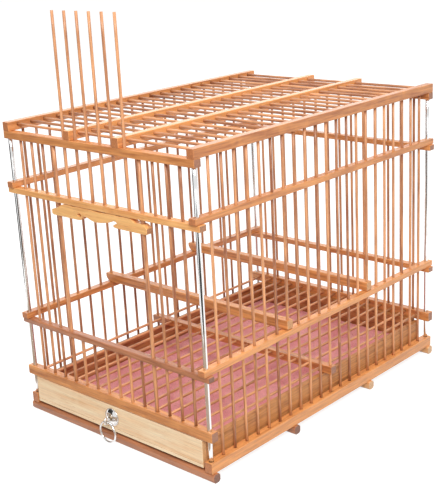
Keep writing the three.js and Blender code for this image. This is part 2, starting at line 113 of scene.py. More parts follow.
class Wiring:
    """Adds nodes to a tree and joins them as they are added."""

    def __init__(self, tree: bpy.types.NodeTree) -> None:
        """Keeps the tree and clears what it starts with."""
        self.tree = tree
        tree.nodes.clear()

    def add(self, kind: str, inputs: dict | None = None, **settings: object) -> bpy.types.Node:
        """Adds one node.

        Args:
            kind: the node's type.
            inputs: a value or another node's output for each input, by name or index.
            settings: the node's own properties.

        Returns:
            The node.
        """
        node = self.tree.nodes.new(kind)
        for key, value in settings.items():
            setattr(node, key, value)
        for key, value in (inputs or {}).items():
            if isinstance(value, bpy.types.NodeSocket):
                self.tree.links.new(value, node.inputs[key])
            else:
                node.inputs[key].default_value = value
        return node

    def maths(self, operation: str, a: object, b: object = 0.0, c: object = 0.0) -> bpy.types.NodeSocket:
        """A Math node's result, with its inputs in order."""
        return self.add("ShaderNodeMath", {0: a, 1: b, 2: c}, operation=operation).outputs[0]

    def remap(self, value: object, low: float, high: float, to_low: float, to_high: float
              ) -> bpy.types.NodeSocket:
        """A value moved from one range to another and held inside it."""
        inputs = {"Value": value, "From Min": low, "From Max": high, "To Min": to_low, "To Max": to_high}
        return self.add("ShaderNodeMapRange", inputs).outputs["Result"]

    def mix(self, share: object, a: object, b: object, blend: str = "MIX") -> bpy.types.NodeSocket:
        """Two colours mixed: inputs 6 and 7 are a Mix node's colours, and output 2 is its colour."""
        node = self.add("ShaderNodeMix", {0: share, 6: a, 7: b}, data_type="RGBA", blend_type=blend)
        return node.outputs[2]

    def noise(self, vector: object, scale: float, detail: float = 2.0, distortion: float = 0.0
              ) -> bpy.types.NodeSocket:
        """A noise pattern's value, about 0.5 on average."""
        inputs = {"Vector": vector, "Scale": scale, "Detail": detail, "Distortion": distortion}
        return self.add("ShaderNodeTexNoise", inputs).outputs["Fac"]

    def stretched(self, grain: Grain, share: float) -> bpy.types.NodeSocket:
        """Object coordinates shortened along the grain, so that a pattern on them runs long.

        Args:
            grain: the direction of the grain.
            share: the share of its length that this direction keeps.

        Returns:
            The coordinates.
        """
        scale = [share if i == grain.value else 1.0 for i in range(3)]
        place = self.add("ShaderNodeTexCoord").outputs["Object"]
        return self.add("ShaderNodeMapping", {"Vector": place, "Scale": scale}).outputs["Vector"]


def new_material(name: str) -> tuple[bpy.types.Material, Wiring]:
    """An empty node material.

    Args:
        name: the material's name.

    Returns:
        The material and its wiring.
    """
    material = bpy.data.materials.new(name)
    material.use_nodes = True
    return material, Wiring(material.node_tree)


def surface(wiring: Wiring, inputs: dict) -> None:
    """Ends a material in one Principled shader with these inputs."""
    shader = wiring.add("ShaderNodeBsdfPrincipled", inputs)
    wiring.add("ShaderNodeOutputMaterial", {"Surface": shader.outputs[0]})


# ---------------------------------------------------------------- finishes


@dataclass(frozen=True)
class Timber:
    """A varnished wood. Its patterns are counted in a metre, across the grain.

    Attributes:
        name: the start of the material's name.
        slot: the record's material slot; not used.
        deep: the late wood's colour.
        clear: the early wood's colour.
        cut: the end grain's colour on pieces that run from front to back.
        worn_cut: the greyer colour of the pores, and of the end grain on pieces that run across.
        figure: bands of figure.
        lines: how much of the growth lines shows, from 0 to 1.
        gloss: the lowest roughness.
        varnish: the weight of the clear coat.
        fibres: fibres.
        pores: pores.
        patches: patches that handling has rubbed pale.
        end_rings: rings on the end grain.
        relief: the depth of the fibres in millimetres.
    """

    name: str
    slot: str
    deep: Colour
    clear: Colour
    cut: Colour
    worn_cut: Colour
    figure: float = 330.0
    lines: float = 0.0
    gloss: float = 0.32
    varnish: float = 0.3
    fibres: float = 1300.0
    pores: float = 2300.0
    patches: float = 70.0
    end_rings: float = 700.0
    relief: float = 0.12

    def wood(self, w: Wiring, grain: Grain) -> bpy.types.NodeSocket:
        """The early and late wood, lighter or darker with the piece's tone.

        Args:
            w: the material's wiring.
            grain: the direction of the grain.

        Returns:
            The colour.
        """
        long_place = w.stretched(grain, 0.07)
        figure = w.noise(long_place, self.figure, 4.0, 0.6)
        tone = w.add("ShaderNodeAttribute", attribute_name="tone").outputs["Fac"]
        share = w.maths("MULTIPLY_ADD", figure, 2.2, -0.85)
        share = w.maths("ADD", share, w.maths("MULTIPLY_ADD", tone, 0.9, -0.2))
        colour = w.mix(w.remap(share, 0.0, 1.0, 0.0, 1.0), linear(self.deep), linear(self.clear))
        if not self.lines:
            return colour
        rings = w.add("ShaderNodeTexWave", {"Vector": long_place, "Scale": 60.0, "Distortion": 5.0,
                                            "Detail": 2.0, "Detail Scale": 1.5},
                      bands_direction="Z" if grain is not Grain.UPRIGHT else "X")
        dark_line = w.remap(rings.outputs["Fac"], 0.55, 1.0, 0.0, self.lines)
        return w.mix(dark_line, colour, linear(self.deep))

    def ends(self, w: Wiring, grain: Grain, place: bpy.types.NodeSocket
             ) -> tuple[bpy.types.NodeSocket, bpy.types.NodeSocket]:
        """The end grain, found by the faces that look along the grain.

        Args:
            w: the material's wiring.
            grain: the direction of the grain.
            place: the object coordinates.

        Returns:
            How far a point is on the end grain, and the end grain's colour.
        """
        facing = w.add("ShaderNodeVectorMath", {0: w.add("ShaderNodeTexCoord").outputs["Normal"],
                                                1: grain.direction}, operation="DOT_PRODUCT")
        is_end = w.remap(w.maths("ABSOLUTE", facing.outputs["Value"]), 0.75, 0.9, 0.0, 0.85)
        rings = w.remap(w.noise(place, self.end_rings, 3.0, 1.5), 0.35, 0.65, 0.75, 1.2)
        cut = linear(self.worn_cut if grain is Grain.ACROSS else self.cut)
        return is_end, w.mix(1.0, cut, rings, "MULTIPLY")

    def material(self, grain: Grain) -> bpy.types.Material:
        """The wood with its grain in one direction, made once.

        Args:
            grain: the direction of the grain.

        Returns:
            The material.
        """
        name = f"{self.name}_{grain.name.lower()}"
        found = bpy.data.materials.get(name)
        if found:
            return found
        material, w = new_material(name)
        place = w.add("ShaderNodeTexCoord").outputs["Object"]
        fibre = w.noise(w.stretched(grain, 0.02), self.fibres, 3.0)
        pores = w.remap(w.noise(w.stretched(grain, 0.05), self.pores), 0.60, 0.72, 0.0, 1.0)
        rubbed = w.remap(w.noise(place, self.patches, 3.0), 0.52, 0.68, 0.0, 1.0)
        is_end, cut = self.ends(w, grain, place)
        colour = w.mix(1.0, self.wood(w, grain), w.remap(fibre, *NOISE_SPAN, 0.86, 1.07), "MULTIPLY")
        colour = w.mix(w.maths("MULTIPLY", rubbed, 0.3), colour, linear(self.clear))
        colour = w.mix(w.maths("MULTIPLY", pores, 0.5), colour, linear(self.worn_cut))
        colour = w.mix(is_end, colour, cut)
        height = w.maths("MULTIPLY_ADD", pores, -0.5, fibre)
        bump = w.add("ShaderNodeBump", {"Strength": 0.45, "Distance": self.relief * MM, "Height": height})
        rough = w.maths("ADD", w.remap(fibre, *NOISE_SPAN, self.gloss, self.gloss + 0.14),
                        w.maths("MULTIPLY_ADD", is_end, 0.2, w.maths("MULTIPLY", rubbed, 0.1)))
        surface(w, {"Base Color": colour, "Roughness": rough, "Normal": bump.outputs["Normal"],
                    "Coat Weight": self.varnish, "Coat Roughness": 0.22})
        return material


@dataclass(frozen=True)
class Chrome:
    """Bright plated steel, with fine rubbing marks and a little tarnish.

    Attributes:
        name: the start of the material's name.
        slot: the record's material slot; not used.
        clear: the bright metal's colour.
        dull: the tarnished metal's colour.
        gloss: the lowest roughness.
        marks: rubbing marks in a metre.
        clouds: clouds of tarnish in a metre.
        relief: the depth of the marks in millimetres.
    """

    name: str = "bright_steel"
    slot: str = "chrome"
    clear: Colour = (228, 228, 228)
    dull: Colour = (196, 188, 180)
    gloss: float = 0.05
    marks: float = 2600.0
    clouds: float = 160.0
    relief: float = 0.03

    def material(self, grain: Grain) -> bpy.types.Material:
        """The metal, rubbed along one direction and made once.

        Args:
            grain: the direction of the rubbing marks.

        Returns:
            The material.
        """
        name = f"{self.name}_{grain.name.lower()}"
        found = bpy.data.materials.get(name)
        if found:
            return found
        material, w = new_material(name)
        rubbed = w.noise(w.stretched(grain, 0.02), self.marks, 3.0)
        clouds = w.noise(w.add("ShaderNodeTexCoord").outputs["Object"], self.clouds, 4.0)
        tarnish = w.remap(clouds, 0.5, 0.8, 0.0, 0.5)
        bump = w.add("ShaderNodeBump", {"Strength": 0.25, "Distance": self.relief * MM, "Height": rubbed})
        rough = w.maths("ADD", w.remap(rubbed, *NOISE_SPAN, self.gloss, self.gloss + 0.08),
                        w.maths("MULTIPLY", tarnish, 0.12))
        surface(w, {"Base Color": w.mix(tarnish, linear(self.clear), linear(self.dull)),
                    "Metallic": 1.0, "Roughness": rough, "Normal": bump.outputs["Normal"]})
        return material


@dataclass(frozen=True)
class LinerPaper:
    """Dusty rose litter paper. Its patterns are counted in a metre.

    Attributes:
        name: the material's name.
        slot: the record's material slot; not used.
        rose: the paper's colour.
        faded: its colour where it has faded.
        fleck: the colour of the flecks.
        mottle: faded clouds.
        fibres: fibres of the pulp.
        flecks: flecks.
        crumples: soft creases.
        relief: the depth of the fibres in millimetres.
    """

    name: str = "liner_paper"
    slot: str = "liner"
    rose: Colour = (220, 138, 142)
    faded: Colour = (238, 170, 170)
    fleck: Colour = (168, 96, 84)
    mottle: float = 45.0
    fibres: float = 900.0
    flecks: float = 420.0
    crumples: float = 30.0
    relief: float = 0.2

    def material(self, grain: Grain) -> bpy.types.Material:
        """The paper, made once.

        Args:
            grain: not used; it is taken as every finish takes it, and the paper looks alike in all
                directions.

        Returns:
            The material.
        """
        found = bpy.data.materials.get(self.name)
        if found:
            return found
        material, w = new_material(self.name)
        place = w.add("ShaderNodeTexCoord").outputs["Object"]
        clouds = w.remap(w.noise(place, self.mottle, 5.0, 0.5), 0.35, 0.68, 0.0, 1.0)
        pulp = w.noise(place, self.fibres, 3.0)
        flecks = w.remap(w.noise(place, self.flecks, 1.0), 0.68, 0.74, 0.0, 0.6)
        colour = w.mix(clouds, linear(self.rose), linear(self.faded))
        colour = w.mix(1.0, colour, w.remap(pulp, *NOISE_SPAN, 0.8, 1.14), "MULTIPLY")
        colour = w.mix(flecks, colour, linear(self.fleck))
        height = w.maths("MULTIPLY_ADD", w.noise(place, self.crumples, 3.0, 1.0), 6.0, pulp)
        bump = w.add("ShaderNodeBump", {"Strength": 0.5, "Distance": self.relief * MM, "Height": height})
        surface(w, {"Base Color": colour, "Roughness": w.remap(pulp, *NOISE_SPAN, 0.7, 0.9),
                    "Normal": bump.outputs["Normal"]})
        return material


Finish = Timber | Chrome | LinerPaper

RAIL = Timber("rail_timber", "rail_timber", (176, 104, 56), (238, 163, 96), (186, 114, 68), (150, 104, 84))
SMOKED = Timber("smoked_timber", "dark_timber", (136, 78, 48), (196, 128, 86), (138, 98, 78), (120, 84, 70))
PALE = Timber("pale_timber", "pale_timber", (222, 142, 76), (255, 196, 124), (190, 122, 76), (158, 106, 78))
BAR = Timber("bar_timber", "bar_timber", (150, 90, 58), (234, 168, 116), (140, 88, 58), (140, 88, 58),
             figure=480.0)
PINE = Timber("pine", "pine", (238, 182, 124), (255, 230, 192), (206, 152, 98), (206, 152, 98), figure=150.0,
              lines=0.12, gloss=0.4, varnish=0.15)
PERCH = Timber("perch_timber", "rail_timber", (174, 104, 54), (240, 166, 98), (206, 152, 104),
               (208, 154, 106))
FRESH = Timber("fresh_timber", "rail_timber", (206, 138, 80), (252, 196, 136), (220, 176, 132),
               (222, 182, 142))
# The tray wood's deep colour is partly painted shade, taken from the drawer's shaded left inner face.
TRAY = Timber("tray_timber", "drawer_timber", (132, 70, 30), (212, 150, 90), (150, 100, 66), (150, 100, 66),
              gloss=0.42, varnish=0.1)
STEEL = Chrome()
LINER = LinerPaper()


# ---------------------------------------------------------------- mesh work


@dataclass(frozen=True)
class Drill:
    """A round hole from one point to another."""

    start: Vector
    end: Vector
    radius: float


def linked(name: str, data: bpy.types.ID) -> bpy.types.Object:
    """A new object in the scene.

    Args:
        name: the object's name.
        data: its mesh, curve, lamp or camera.

    Returns:
        The object.
    """
    made = bpy.data.objects.new(name, data)
    bpy.context.scene.collection.objects.link(made)
    return made


def filled(name: str, bm: bmesh.types.BMesh) -> bpy.types.Object:
    """An object with this mesh work as it is.

    Args:
        name: the object's name.
        bm: the mesh work, which is freed.

    Returns:
        The linked object.
    """
    mesh = bpy.data.meshes.new(name)
    bm.to_mesh(mesh)
    bm.free()
    return linked(name, mesh)


def object_of(name: str, bm: bmesh.types.BMesh) -> bpy.types.Object:
    """Turns millimetre mesh work into an object in metres, at the origin.

    Args:
        name: the object's name.
        bm: the mesh work, which is freed.

    Returns:
        The linked object.
    """
    bmesh.ops.transform(bm, matrix=Matrix.Scale(MM, 4), verts=bm.verts)
    bmesh.ops.recalc_face_normals(bm, faces=bm.faces)
    return filled(name, bm)


def circle(steps: int) -> list[float]:
    """Equal angles round a full turn."""
    return [math.tau * i / steps for i in range(steps)]


def bend(start: tuple[float, float], pull: tuple[float, float], end: tuple[float, float], steps: int
         ) -> list[tuple[float, float]]:
    """A curve that leaves the start towards a point and reaches the end from it.

    Args:
        start: where the curve starts.
        pull: the point that draws it aside.
        end: where it ends.
        steps: how many points it has after its start.

    Returns:
        The points after the start.
    """
    found = []
    for i in range(1, steps + 1):
        t = i / steps
        shares = ((1 - t) ** 2, 2 * (1 - t) * t, t * t)
        found.append(tuple(sum(s * p for s, p in zip(shares, axis)) for axis in zip(start, pull, end)))
    return found


def block(low: Vector, high: Vector) -> bmesh.types.BMesh:
    """A square-edged block.

    Args:
        low: its lowest corner.
        high: its highest corner.

    Returns:
        The mesh work.
    """
    bm = bmesh.new()
    place = Matrix.Translation((low + high) / 2) @ Matrix.Diagonal((*(high - low), 1))
    bmesh.ops.create_cube(bm, size=1.0, matrix=place)
    return bm


def prism(outline: list[Vector], run: Vector) -> bmesh.types.BMesh:
    """A flat outline drawn out straight.

    Args:
        outline: its corners in order.
        run: how far and which way it is drawn.

    Returns:
        The mesh work.
    """
    bm = bmesh.new()
    face = bm.faces.new([bm.verts.new(corner) for corner in outline])
    drawn = bmesh.ops.extrude_face_region(bm, geom=[face])
    moved = [v for v in drawn["geom"] if isinstance(v, bmesh.types.BMVert)]
    bmesh.ops.translate(bm, vec=run, verts=moved)
    return bm


def settled(obj: bpy.types.Object) -> bpy.types.Object:
    """Replaces an object by the plain mesh of its evaluated self.

    Args:
        obj: an object whose modifiers are complete.

    Returns:
        A new object of the same name with no modifiers.
    """
    name = obj.name
    graph = bpy.context.evaluated_depsgraph_get()
    mesh = bpy.data.meshes.new_from_object(obj.evaluated_get(graph), depsgraph=graph)
    bpy.data.objects.remove(obj)
    mesh.name = name
    return linked(name, mesh)


def drilled(obj: bpy.types.Object, drills: list[Drill]) -> bpy.types.Object:
    """Cuts round holes in a finished object.

    Args:
        obj: the object, in metres.
        drills: the holes, in millimetres.

    Returns:
        The object with its holes.
    """
    bm = bmesh.new()
    for drill in drills:
        run = drill.end - drill.start
        turn = run.to_track_quat("Z", "Y").to_matrix().to_4x4()
        place = Matrix.Translation((drill.start + drill.end) / 2) @ turn
        bmesh.ops.create_cone(bm, cap_ends=True, segments=HOLE_FACETS, radius1=drill.radius,
                              radius2=drill.radius, depth=run.length, matrix=place)
    cutter = object_of("cutter", bm)
    cut = obj.modifiers.new("drill", "BOOLEAN")
    cut.operation, cut.solver, cut.object = "DIFFERENCE", "EXACT", cutter
    made = settled(obj)
    bpy.data.objects.remove(cutter)
    return made


def smoothed(obj: bpy.types.Object) -> bpy.types.Object:
    """Shades an object smooth but for its sharp edges.

    Args:
        obj: the object.

    Returns:
        The same object.
    """
    obj.data.shade_smooth()
    obj.data.set_sharp_from_angle(angle=math.radians(CREASE))
    return obj


def plank(name: str, low: Vector, high: Vector, round_over: float = 0.55) -> bpy.types.Object:
    """A board between two corners with all its edges rounded over.

    Args:
        name: the object's name.
        low: the lowest corner.
        high: the highest corner.
        round_over: the radius of the edges.

    Returns:
        The board.
    """
    bm = block(low, high)
    bmesh.ops.bevel(bm, geom=bm.edges[:], offset=round_over, segments=3, profile=0.5, affect="EDGES")
    return object_of(name, bm)


def revolved(name: str, profile: list[tuple[float, float]], centre: Vector, facets: int
             ) -> bpy.types.Object:
    """A closed ring profile turned about the -Y line through a centre.

    Args:
        name: the object's name.
        profile: radius and outward height of each point, in order round the section.
        centre: the point on the axis at height 0.
        facets: the steps of the turn.

    Returns:
        The turned object.
    """
    bm = bmesh.new()
    rings = [[bm.verts.new(centre + Vector((r * math.cos(a), -h, r * math.sin(a)))) for r, h in profile]
             for a in circle(facets)]
    count = len(profile)
    for step in range(facets):
        here, there = rings[step], rings[(step + 1) % facets]
        for i in range(count):
            j = (i + 1) % count
            bm.faces.new((here[i], here[j], there[j], there[i]))
    return smoothed(object_of(name, bm))


def wire(name: str, path: list[Vector], radius: float, sides: int = 12, closed: bool = False
         ) -> bpy.types.Object:
    """Round wire along a path.

    Args:
        name: the object's name.
        path: the centreline.
        radius: the wire's radius.
        sides: the sides of its section.
        closed: whether the ends join.

    Returns:
        The wire.
    """
    bm = bmesh.new()
    count = len(path)
    rings = []
    normal = None
    for i, point in enumerate(path):
        before = path[i - 1] if closed or i else path[0]
        after = path[(i + 1) % count] if closed or i < count - 1 else path[-1]
        run = (after - before).normalized()
        if normal is None:
            normal = run.orthogonal().normalized()
        normal = (normal - run * normal.dot(run)).normalized()
        side = run.cross(normal)
        rings.append([bm.verts.new(point + radius * (normal * math.cos(a) + side * math.sin(a)))
                      for a in circle(sides)])
    for i in range(count if closed else count - 1):
        here, there = rings[i], rings[(i + 1) % count]
        for k in range(sides):
            m = (k + 1) % sides
            bm.faces.new((here[k], here[m], there[m], there[k]))
    if not closed:
        bm.faces.new(rings[0][::-1])
        bm.faces.new(rings[-1])
    return smoothed(object_of(name, bm))


def joined(name: str, objects: list[bpy.types.Object]) -> bpy.types.Object:
    """Several objects' meshes as one object.

    Args:
        name: the new object's name.
        objects: the objects, which are removed.

    Returns:
        The new object.
    """
    bm = bmesh.new()
    for obj in objects:
        bm.from_mesh(obj.data)
        bpy.data.objects.remove(obj)
    return filled(name, bm)


def toned(obj: bpy.types.Object, tone: float) -> bpy.types.Object:
    """Stores how light a piece looks, for its material to read: its wood's own tone, and on the drawer's left
    side board partly painted shade.

    Args:
        obj: the piece.
        tone: 0 for the darkest wood and 1 for the lightest.

    Returns:
        The same piece.
    """
    stored = obj.data.attributes.new("tone", "FLOAT", "POINT")
    stored.data.foreach_set("value", [tone] * len(obj.data.vertices))
    return obj


def hand_over(obj: bpy.types.Object, body: str, finish: Finish, grain: Grain,
              replaced: list[str] | None = None) -> None:
    """Dresses a finished piece, lets it ride and reports it.

    Args:
        obj: the piece.
        body: the body that it rides on.
        finish: its finish.
        grain: the direction of its grain.
        replaced: the CAD nodes that it stands for.
    """
    obj.data.materials.clear()
    obj.data.materials.append(finish.material(grain))
    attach(obj, body)
    if replaced:
        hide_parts(*replaced)
    log.info("%s: %d faces on %s", obj.name, len(obj.data.polygons), body)


# ---------------------------------------------------------------- bars


def bar_field_tree() -> bpy.types.NodeTree:
    """The Geometry Nodes tree that stands round bars on a grid of places, made once.

    Returns:
        The tree, whose inputs are the grid, the bar's sizes, its wander and its material.
    """
    found = bpy.data.node_groups.get("bar_field")
    if found:
        return found
    tree = bpy.data.node_groups.new("bar_field", "GeometryNodeTree")
    sockets = [("Start", "NodeSocketVector"), ("Step", "NodeSocketVector"), ("Count", "NodeSocketInt"),
               ("Row Step", "NodeSocketVector"), ("Rows", "NodeSocketInt"), ("Turn", "NodeSocketVector"),
               ("Radius", "NodeSocketFloat"), ("Length", "NodeSocketFloat"), ("Sides", "NodeSocketInt"),
               ("Bow", "NodeSocketVector"), ("Seed", "NodeSocketInt"), ("Tone Low", "NodeSocketFloat"),
               ("Tone High", "NodeSocketFloat"), ("Material", "NodeSocketMaterial")]
    for name, kind in sockets:
        tree.interface.new_socket(name, in_out="INPUT", socket_type=kind)
    tree.interface.new_socket("Geometry", in_out="OUTPUT", socket_type="NodeSocketGeometry")
    w = Wiring(tree)
    given = w.add("NodeGroupInput").outputs
    row = w.add("GeometryNodeMeshLine", {"Count": given["Count"], "Start Location": given["Start"],
                                         "Offset": given["Step"]}, mode="OFFSET")
    rows = w.add("GeometryNodeMeshLine", {"Count": given["Rows"], "Offset": given["Row Step"]}, mode="OFFSET")
    grid = w.add("GeometryNodeInstanceOnPoints", {"Points": rows.outputs[0], "Instance": row.outputs[0]})
    places = w.add("GeometryNodeRealizeInstances", {"Geometry": grid.outputs[0]})
    stock = w.add("GeometryNodeMeshCylinder", {"Vertices": given["Sides"], "Side Segments": 9,
                                               "Radius": given["Radius"], "Depth": given["Length"]})
    smooth = w.add("GeometryNodeSetShadeSmooth", {"Geometry": stock.outputs["Mesh"],
                                                  "Selection": stock.outputs["Side"]})
    spin = w.add("FunctionNodeRandomValue", {0: (0.0, 0.0, 0.0), 1: (0.0, 0.0, 2 * math.pi),
                                             "Seed": given["Seed"]}, data_type="FLOAT_VECTOR")
    turn = w.add("FunctionNodeEulerToRotation", {0: given["Turn"]})
    own = w.add("FunctionNodeEulerToRotation", {0: spin.outputs[0]})
    both = w.add("FunctionNodeRotateRotation", {0: turn.outputs[0], 1: own.outputs[0]},
                 rotation_space="LOCAL")
    bars = w.add("GeometryNodeInstanceOnPoints", {"Points": places.outputs[0], "Instance": smooth.outputs[0],
                                                  "Rotation": both.outputs[0]})
    tone = w.add("FunctionNodeRandomValue", {2: given["Tone Low"], 3: given["Tone High"],
                                             "Seed": given["Seed"]}, data_type="FLOAT")
    toned_bars = w.add("GeometryNodeStoreNamedAttribute", {"Geometry": bars.outputs[0], "Name": "tone",
                                                           "Value": tone.outputs[1]},
                       data_type="FLOAT", domain="INSTANCE")
    solid = w.add("GeometryNodeRealizeInstances", {"Geometry": toned_bars.outputs[0]})
    drift = w.add("ShaderNodeTexNoise", {"Scale": 9.0, "Detail": 1.0})
    centred = w.add("ShaderNodeVectorMath", {0: drift.outputs["Color"], 1: (0.5, 0.5, 0.5)},
                    operation="SUBTRACT")
    offset = w.add("ShaderNodeVectorMath", {0: centred.outputs[0], 1: given["Bow"]}, operation="MULTIPLY")
    bowed = w.add("GeometryNodeSetPosition", {"Geometry": solid.outputs[0], "Offset": offset.outputs[0]})
    dressed = w.add("GeometryNodeSetMaterial", {"Geometry": bowed.outputs[0], "Material": given["Material"]})
    w.add("NodeGroupOutput", {0: dressed.outputs[0]})
    return tree


@dataclass
class BarField:
    """Equal round bars on a grid of places.

    Attributes:
        name: the piece's name.
        first: the middle of the first bar.
        step: from one bar to the next.
        count: bars in a row.
        grain: the bars' direction.
        radius: the bars' radius.
        length: the bars' length.
        row_step: from one row to the next.
        rows: how many rows there are.
        sides: the sides of a bar's section.
        bow: twice how far a bar may wander from its line.
        tones: the darkest and lightest tone.
        finish: the bars' finish.
    """

    name: str
    first: Vector
    step: Vector
    count: int
    grain: Grain
    radius: float
    length: float
    row_step: Vector = field(default_factory=Vector)
    rows: int = 1
    sides: int = 14
    bow: float = 0.5
    tones: tuple[float, float] = (0.1, 0.9)
    finish: Finish = BAR

    def build(self, body: str, replaced: list[str] | None = None) -> None:
        """Makes the bars as one plain mesh and hands it over.

        Args:
            body: the body that they ride on.
            replaced: the CAD nodes that they stand for.
        """
        tree = bar_field_tree()
        obj = linked(self.name, bpy.data.meshes.new(self.name))
        modifier = obj.modifiers.new("bars", "NODES")
        modifier.node_group = tree
        values = {"Start": self.first * MM, "Step": self.step * MM, "Count": self.count,
                  "Row Step": self.row_step * MM, "Rows": self.rows, "Turn": self.grain.turn,
                  "Radius": self.radius * MM, "Length": self.length * MM, "Sides": self.sides,
                  "Bow": (Vector((1, 1, 1)) - self.grain.direction) * self.bow * MM,
                  "Seed": SEED + len(self.name), "Tone Low": self.tones[0],
                  "Tone High": self.tones[1], "Material": self.finish.material(self.grain)}
        keys = {item.name: item.identifier for item in tree.interface.items_tree if item.in_out == "INPUT"}
        for name, value in values.items():
            modifier[keys[name]] = value
        hand_over(settled(obj), body, self.finish, self.grain, replaced)


# ---------------------------------------------------------------- the cage's measures


@dataclass(frozen=True)
class Measures:
    """The grid that every bar stands on, and the sizes that several pieces share.

    Attributes:
        front_pitch: from one bar to the next across the cage.
        front_spaces: spaces between bars across the cage.
        side_pitch: from one bar to the next along the cage.
        side_spaces: spaces between bars along the cage.
        set_back: the body's middle behind the whole object's, which the ring lengthens forwards.
        bar_radius: the round bars' radius.
        stile_radius: the radius of the two thicker bars that the door slides on.
        tie_radius: the steel rods' radius.
        hole_fit: the room round a bar in its hole.
        rail_width: the width of the square rails.
        stile_places: the stiles' places among the front bars, counted from 1.
    """

    front_pitch: float = 15.3
    front_spaces: int = 15
    side_pitch: float = 15.15
    side_spaces: int = 22
    set_back: float = 4.35
    bar_radius: float = 1.3
    stile_radius: float = 1.7
    tie_radius: float = 2.0
    hole_fit: float = 0.22
    rail_width: float = 7.8
    stile_places: tuple[int, int] = (4, 11)

    @property
    def half_width(self) -> float:
        """From the middle to the line of the side walls."""
        return self.front_pitch * self.front_spaces / 2

    @property
    def front_y(self) -> float:
        """The line of the front wall."""
        return self.set_back - self.side_pitch * self.side_spaces / 2

    @property
    def back_y(self) -> float:
        """The line of the back wall."""
        return self.set_back + self.side_pitch * self.side_spaces / 2

    @property
    def front_bars(self) -> list[float]:
        """X of each bar of the front and back walls."""
        return [self.front_pitch * i - self.half_width for i in range(1, self.front_spaces)]

    @property
    def side_bars(self) -> list[float]:
        """Y of each bar of the side walls."""
        return [self.front_y + self.side_pitch * i for i in range(1, self.side_spaces)]

    @property
    def floor_rods(self) -> list[float]:
        """X of each floor rod."""
        return [self.front_pitch * (i + 0.5) - self.half_width for i in range(self.front_spaces)]

    @property
    def top_rods(self) -> list[float]:
        """Y of each top rod."""
        return [self.front_y + self.side_pitch * (i + 0.5) for i in range(self.side_spaces)]

    @property
    def door_bars(self) -> list[float]:
        """X of the bars between the stiles."""
        first, last = self.stile_places
        return self.front_bars[first:last - 1]

    @property
    def tall_bars(self) -> list[float]:
        """X of the fixed bars beside the door, without the stiles."""
        first, last = self.stile_places
        return self.front_bars[:first - 1] + self.front_bars[last:]


CAGE = Measures()


def span(node: str) -> tuple[Vector, Vector]:
    """A CAD node's lowest and highest corners in millimetres."""
    low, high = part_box(node)
    return low / MM, high / MM


def upright(x: float, y: float, low: float, high: float, radius: float) -> Drill:
    """An upright hole that a bar of this radius fits."""
    return Drill(Vector((x, y, low)), Vector((x, y, high)), radius + CAGE.hole_fit)


def level(start: tuple[float, float, float], end: tuple[float, float, float]) -> Drill:
    """A level hole that a bar fits, from one point to another."""
    return Drill(Vector(start), Vector(end), CAGE.bar_radius + CAGE.hole_fit)


@dataclass
class Rail:
    """One rail, drilled for the bars that it holds.

    Attributes:
        node: the CAD node that it stands for.
        grain: the rail's direction.
        finish: its finish.
        tone: how light its wood is.
        bars: the place along the rail and the radius of each bar.
        depth: how deep the bars' holes go, up from the underside, or down from the top where it is
            below 0; at 0 they go through.
        box: its corners, where its node holds more than the rail.
        extra: any further holes.
        round_over: the radius of its edges.
    """

    node: str
    grain: Grain
    finish: Timber = RAIL
    tone: float = 0.5
    bars: list[tuple[float, float]] = field(default_factory=list)
    depth: float = 0.0
    box: tuple[Vector, Vector] | None = None
    extra: list[Drill] = field(default_factory=list)
    round_over: float = 0.55

    def holes(self, low: Vector, high: Vector) -> list[Drill]:
        """The holes for the bars, the tie rods at both ends and whatever else enters the rail.

        Args:
            low: the rail's lowest corner.
            high: its highest corner.

        Returns:
            The holes.
        """
        middle = (low + high) / 2
        under = low.z - PAST
        bottom = high.z + self.depth if self.depth < 0 else under
        top = low.z + self.depth if self.depth > 0 else high.z + PAST
        across = self.grain is Grain.ACROSS
        ends = (-CAGE.half_width, CAGE.half_width) if across else (CAGE.front_y, CAGE.back_y)
        entries = [(place, radius, bottom) for place, radius in self.bars]
        entries += [(place, CAGE.tie_radius, under) for place in ends]
        found = []
        for place, radius, start in entries:
            x, y = (place, middle.y) if across else (middle.x, place)
            found.append(upright(x, y, start, top, radius))
        return found + self.extra

    def build(self) -> None:
        """Makes the rail and hands it over."""
        low, high = self.box or span(self.node)
        blank = plank(f"timber_{self.node}", low, high, self.round_over)
        made = toned(drilled(blank, self.holes(low, high)), self.tone)
        hand_over(made, "cage", self.finish, self.grain, [self.node])


# ---------------------------------------------------------------- sub-assemblies


@dataclass
class Skids:
    """The four chamfered cross bars that the cage stands on."""

    chamfer: float = 1.8
    round_over: float = 0.35
    tones: dict[str, tuple[Timber, float]] = field(default_factory=lambda: {
        "skid_front": (SMOKED, 0.75), "skid_middle_front": (SMOKED, 0.7),
        "skid_middle_back": (FRESH, 0.45), "skid_back": (FRESH, 0.5)})

    def build(self) -> None:
        """Makes the skids, the outer two drilled for the tie rods."""
        for node, (finish, tone) in self.tones.items():
            low, high = span(node)
            bm = block(low, high)
            long_edges = [e for e in bm.edges if abs((e.verts[0].co - e.verts[1].co).x) > 1]
            bmesh.ops.bevel(bm, geom=long_edges, offset=self.chamfer, segments=1, affect="EDGES")
            bmesh.ops.bevel(bm, geom=bm.edges[:], offset=self.round_over, segments=2, profile=0.5,
                            affect="EDGES")
            made = object_of(f"timber_{node}", bm)
            if node in ("skid_front", "skid_back"):
                y = (low.y + high.y) / 2
                made = drilled(made, [upright(x, y, high.z / 2, high.z + PAST, CAGE.tie_radius)
                                      for x in (-CAGE.half_width, CAGE.half_width)])
            hand_over(toned(made, tone), "cage", finish, Grain.ACROSS, [node])


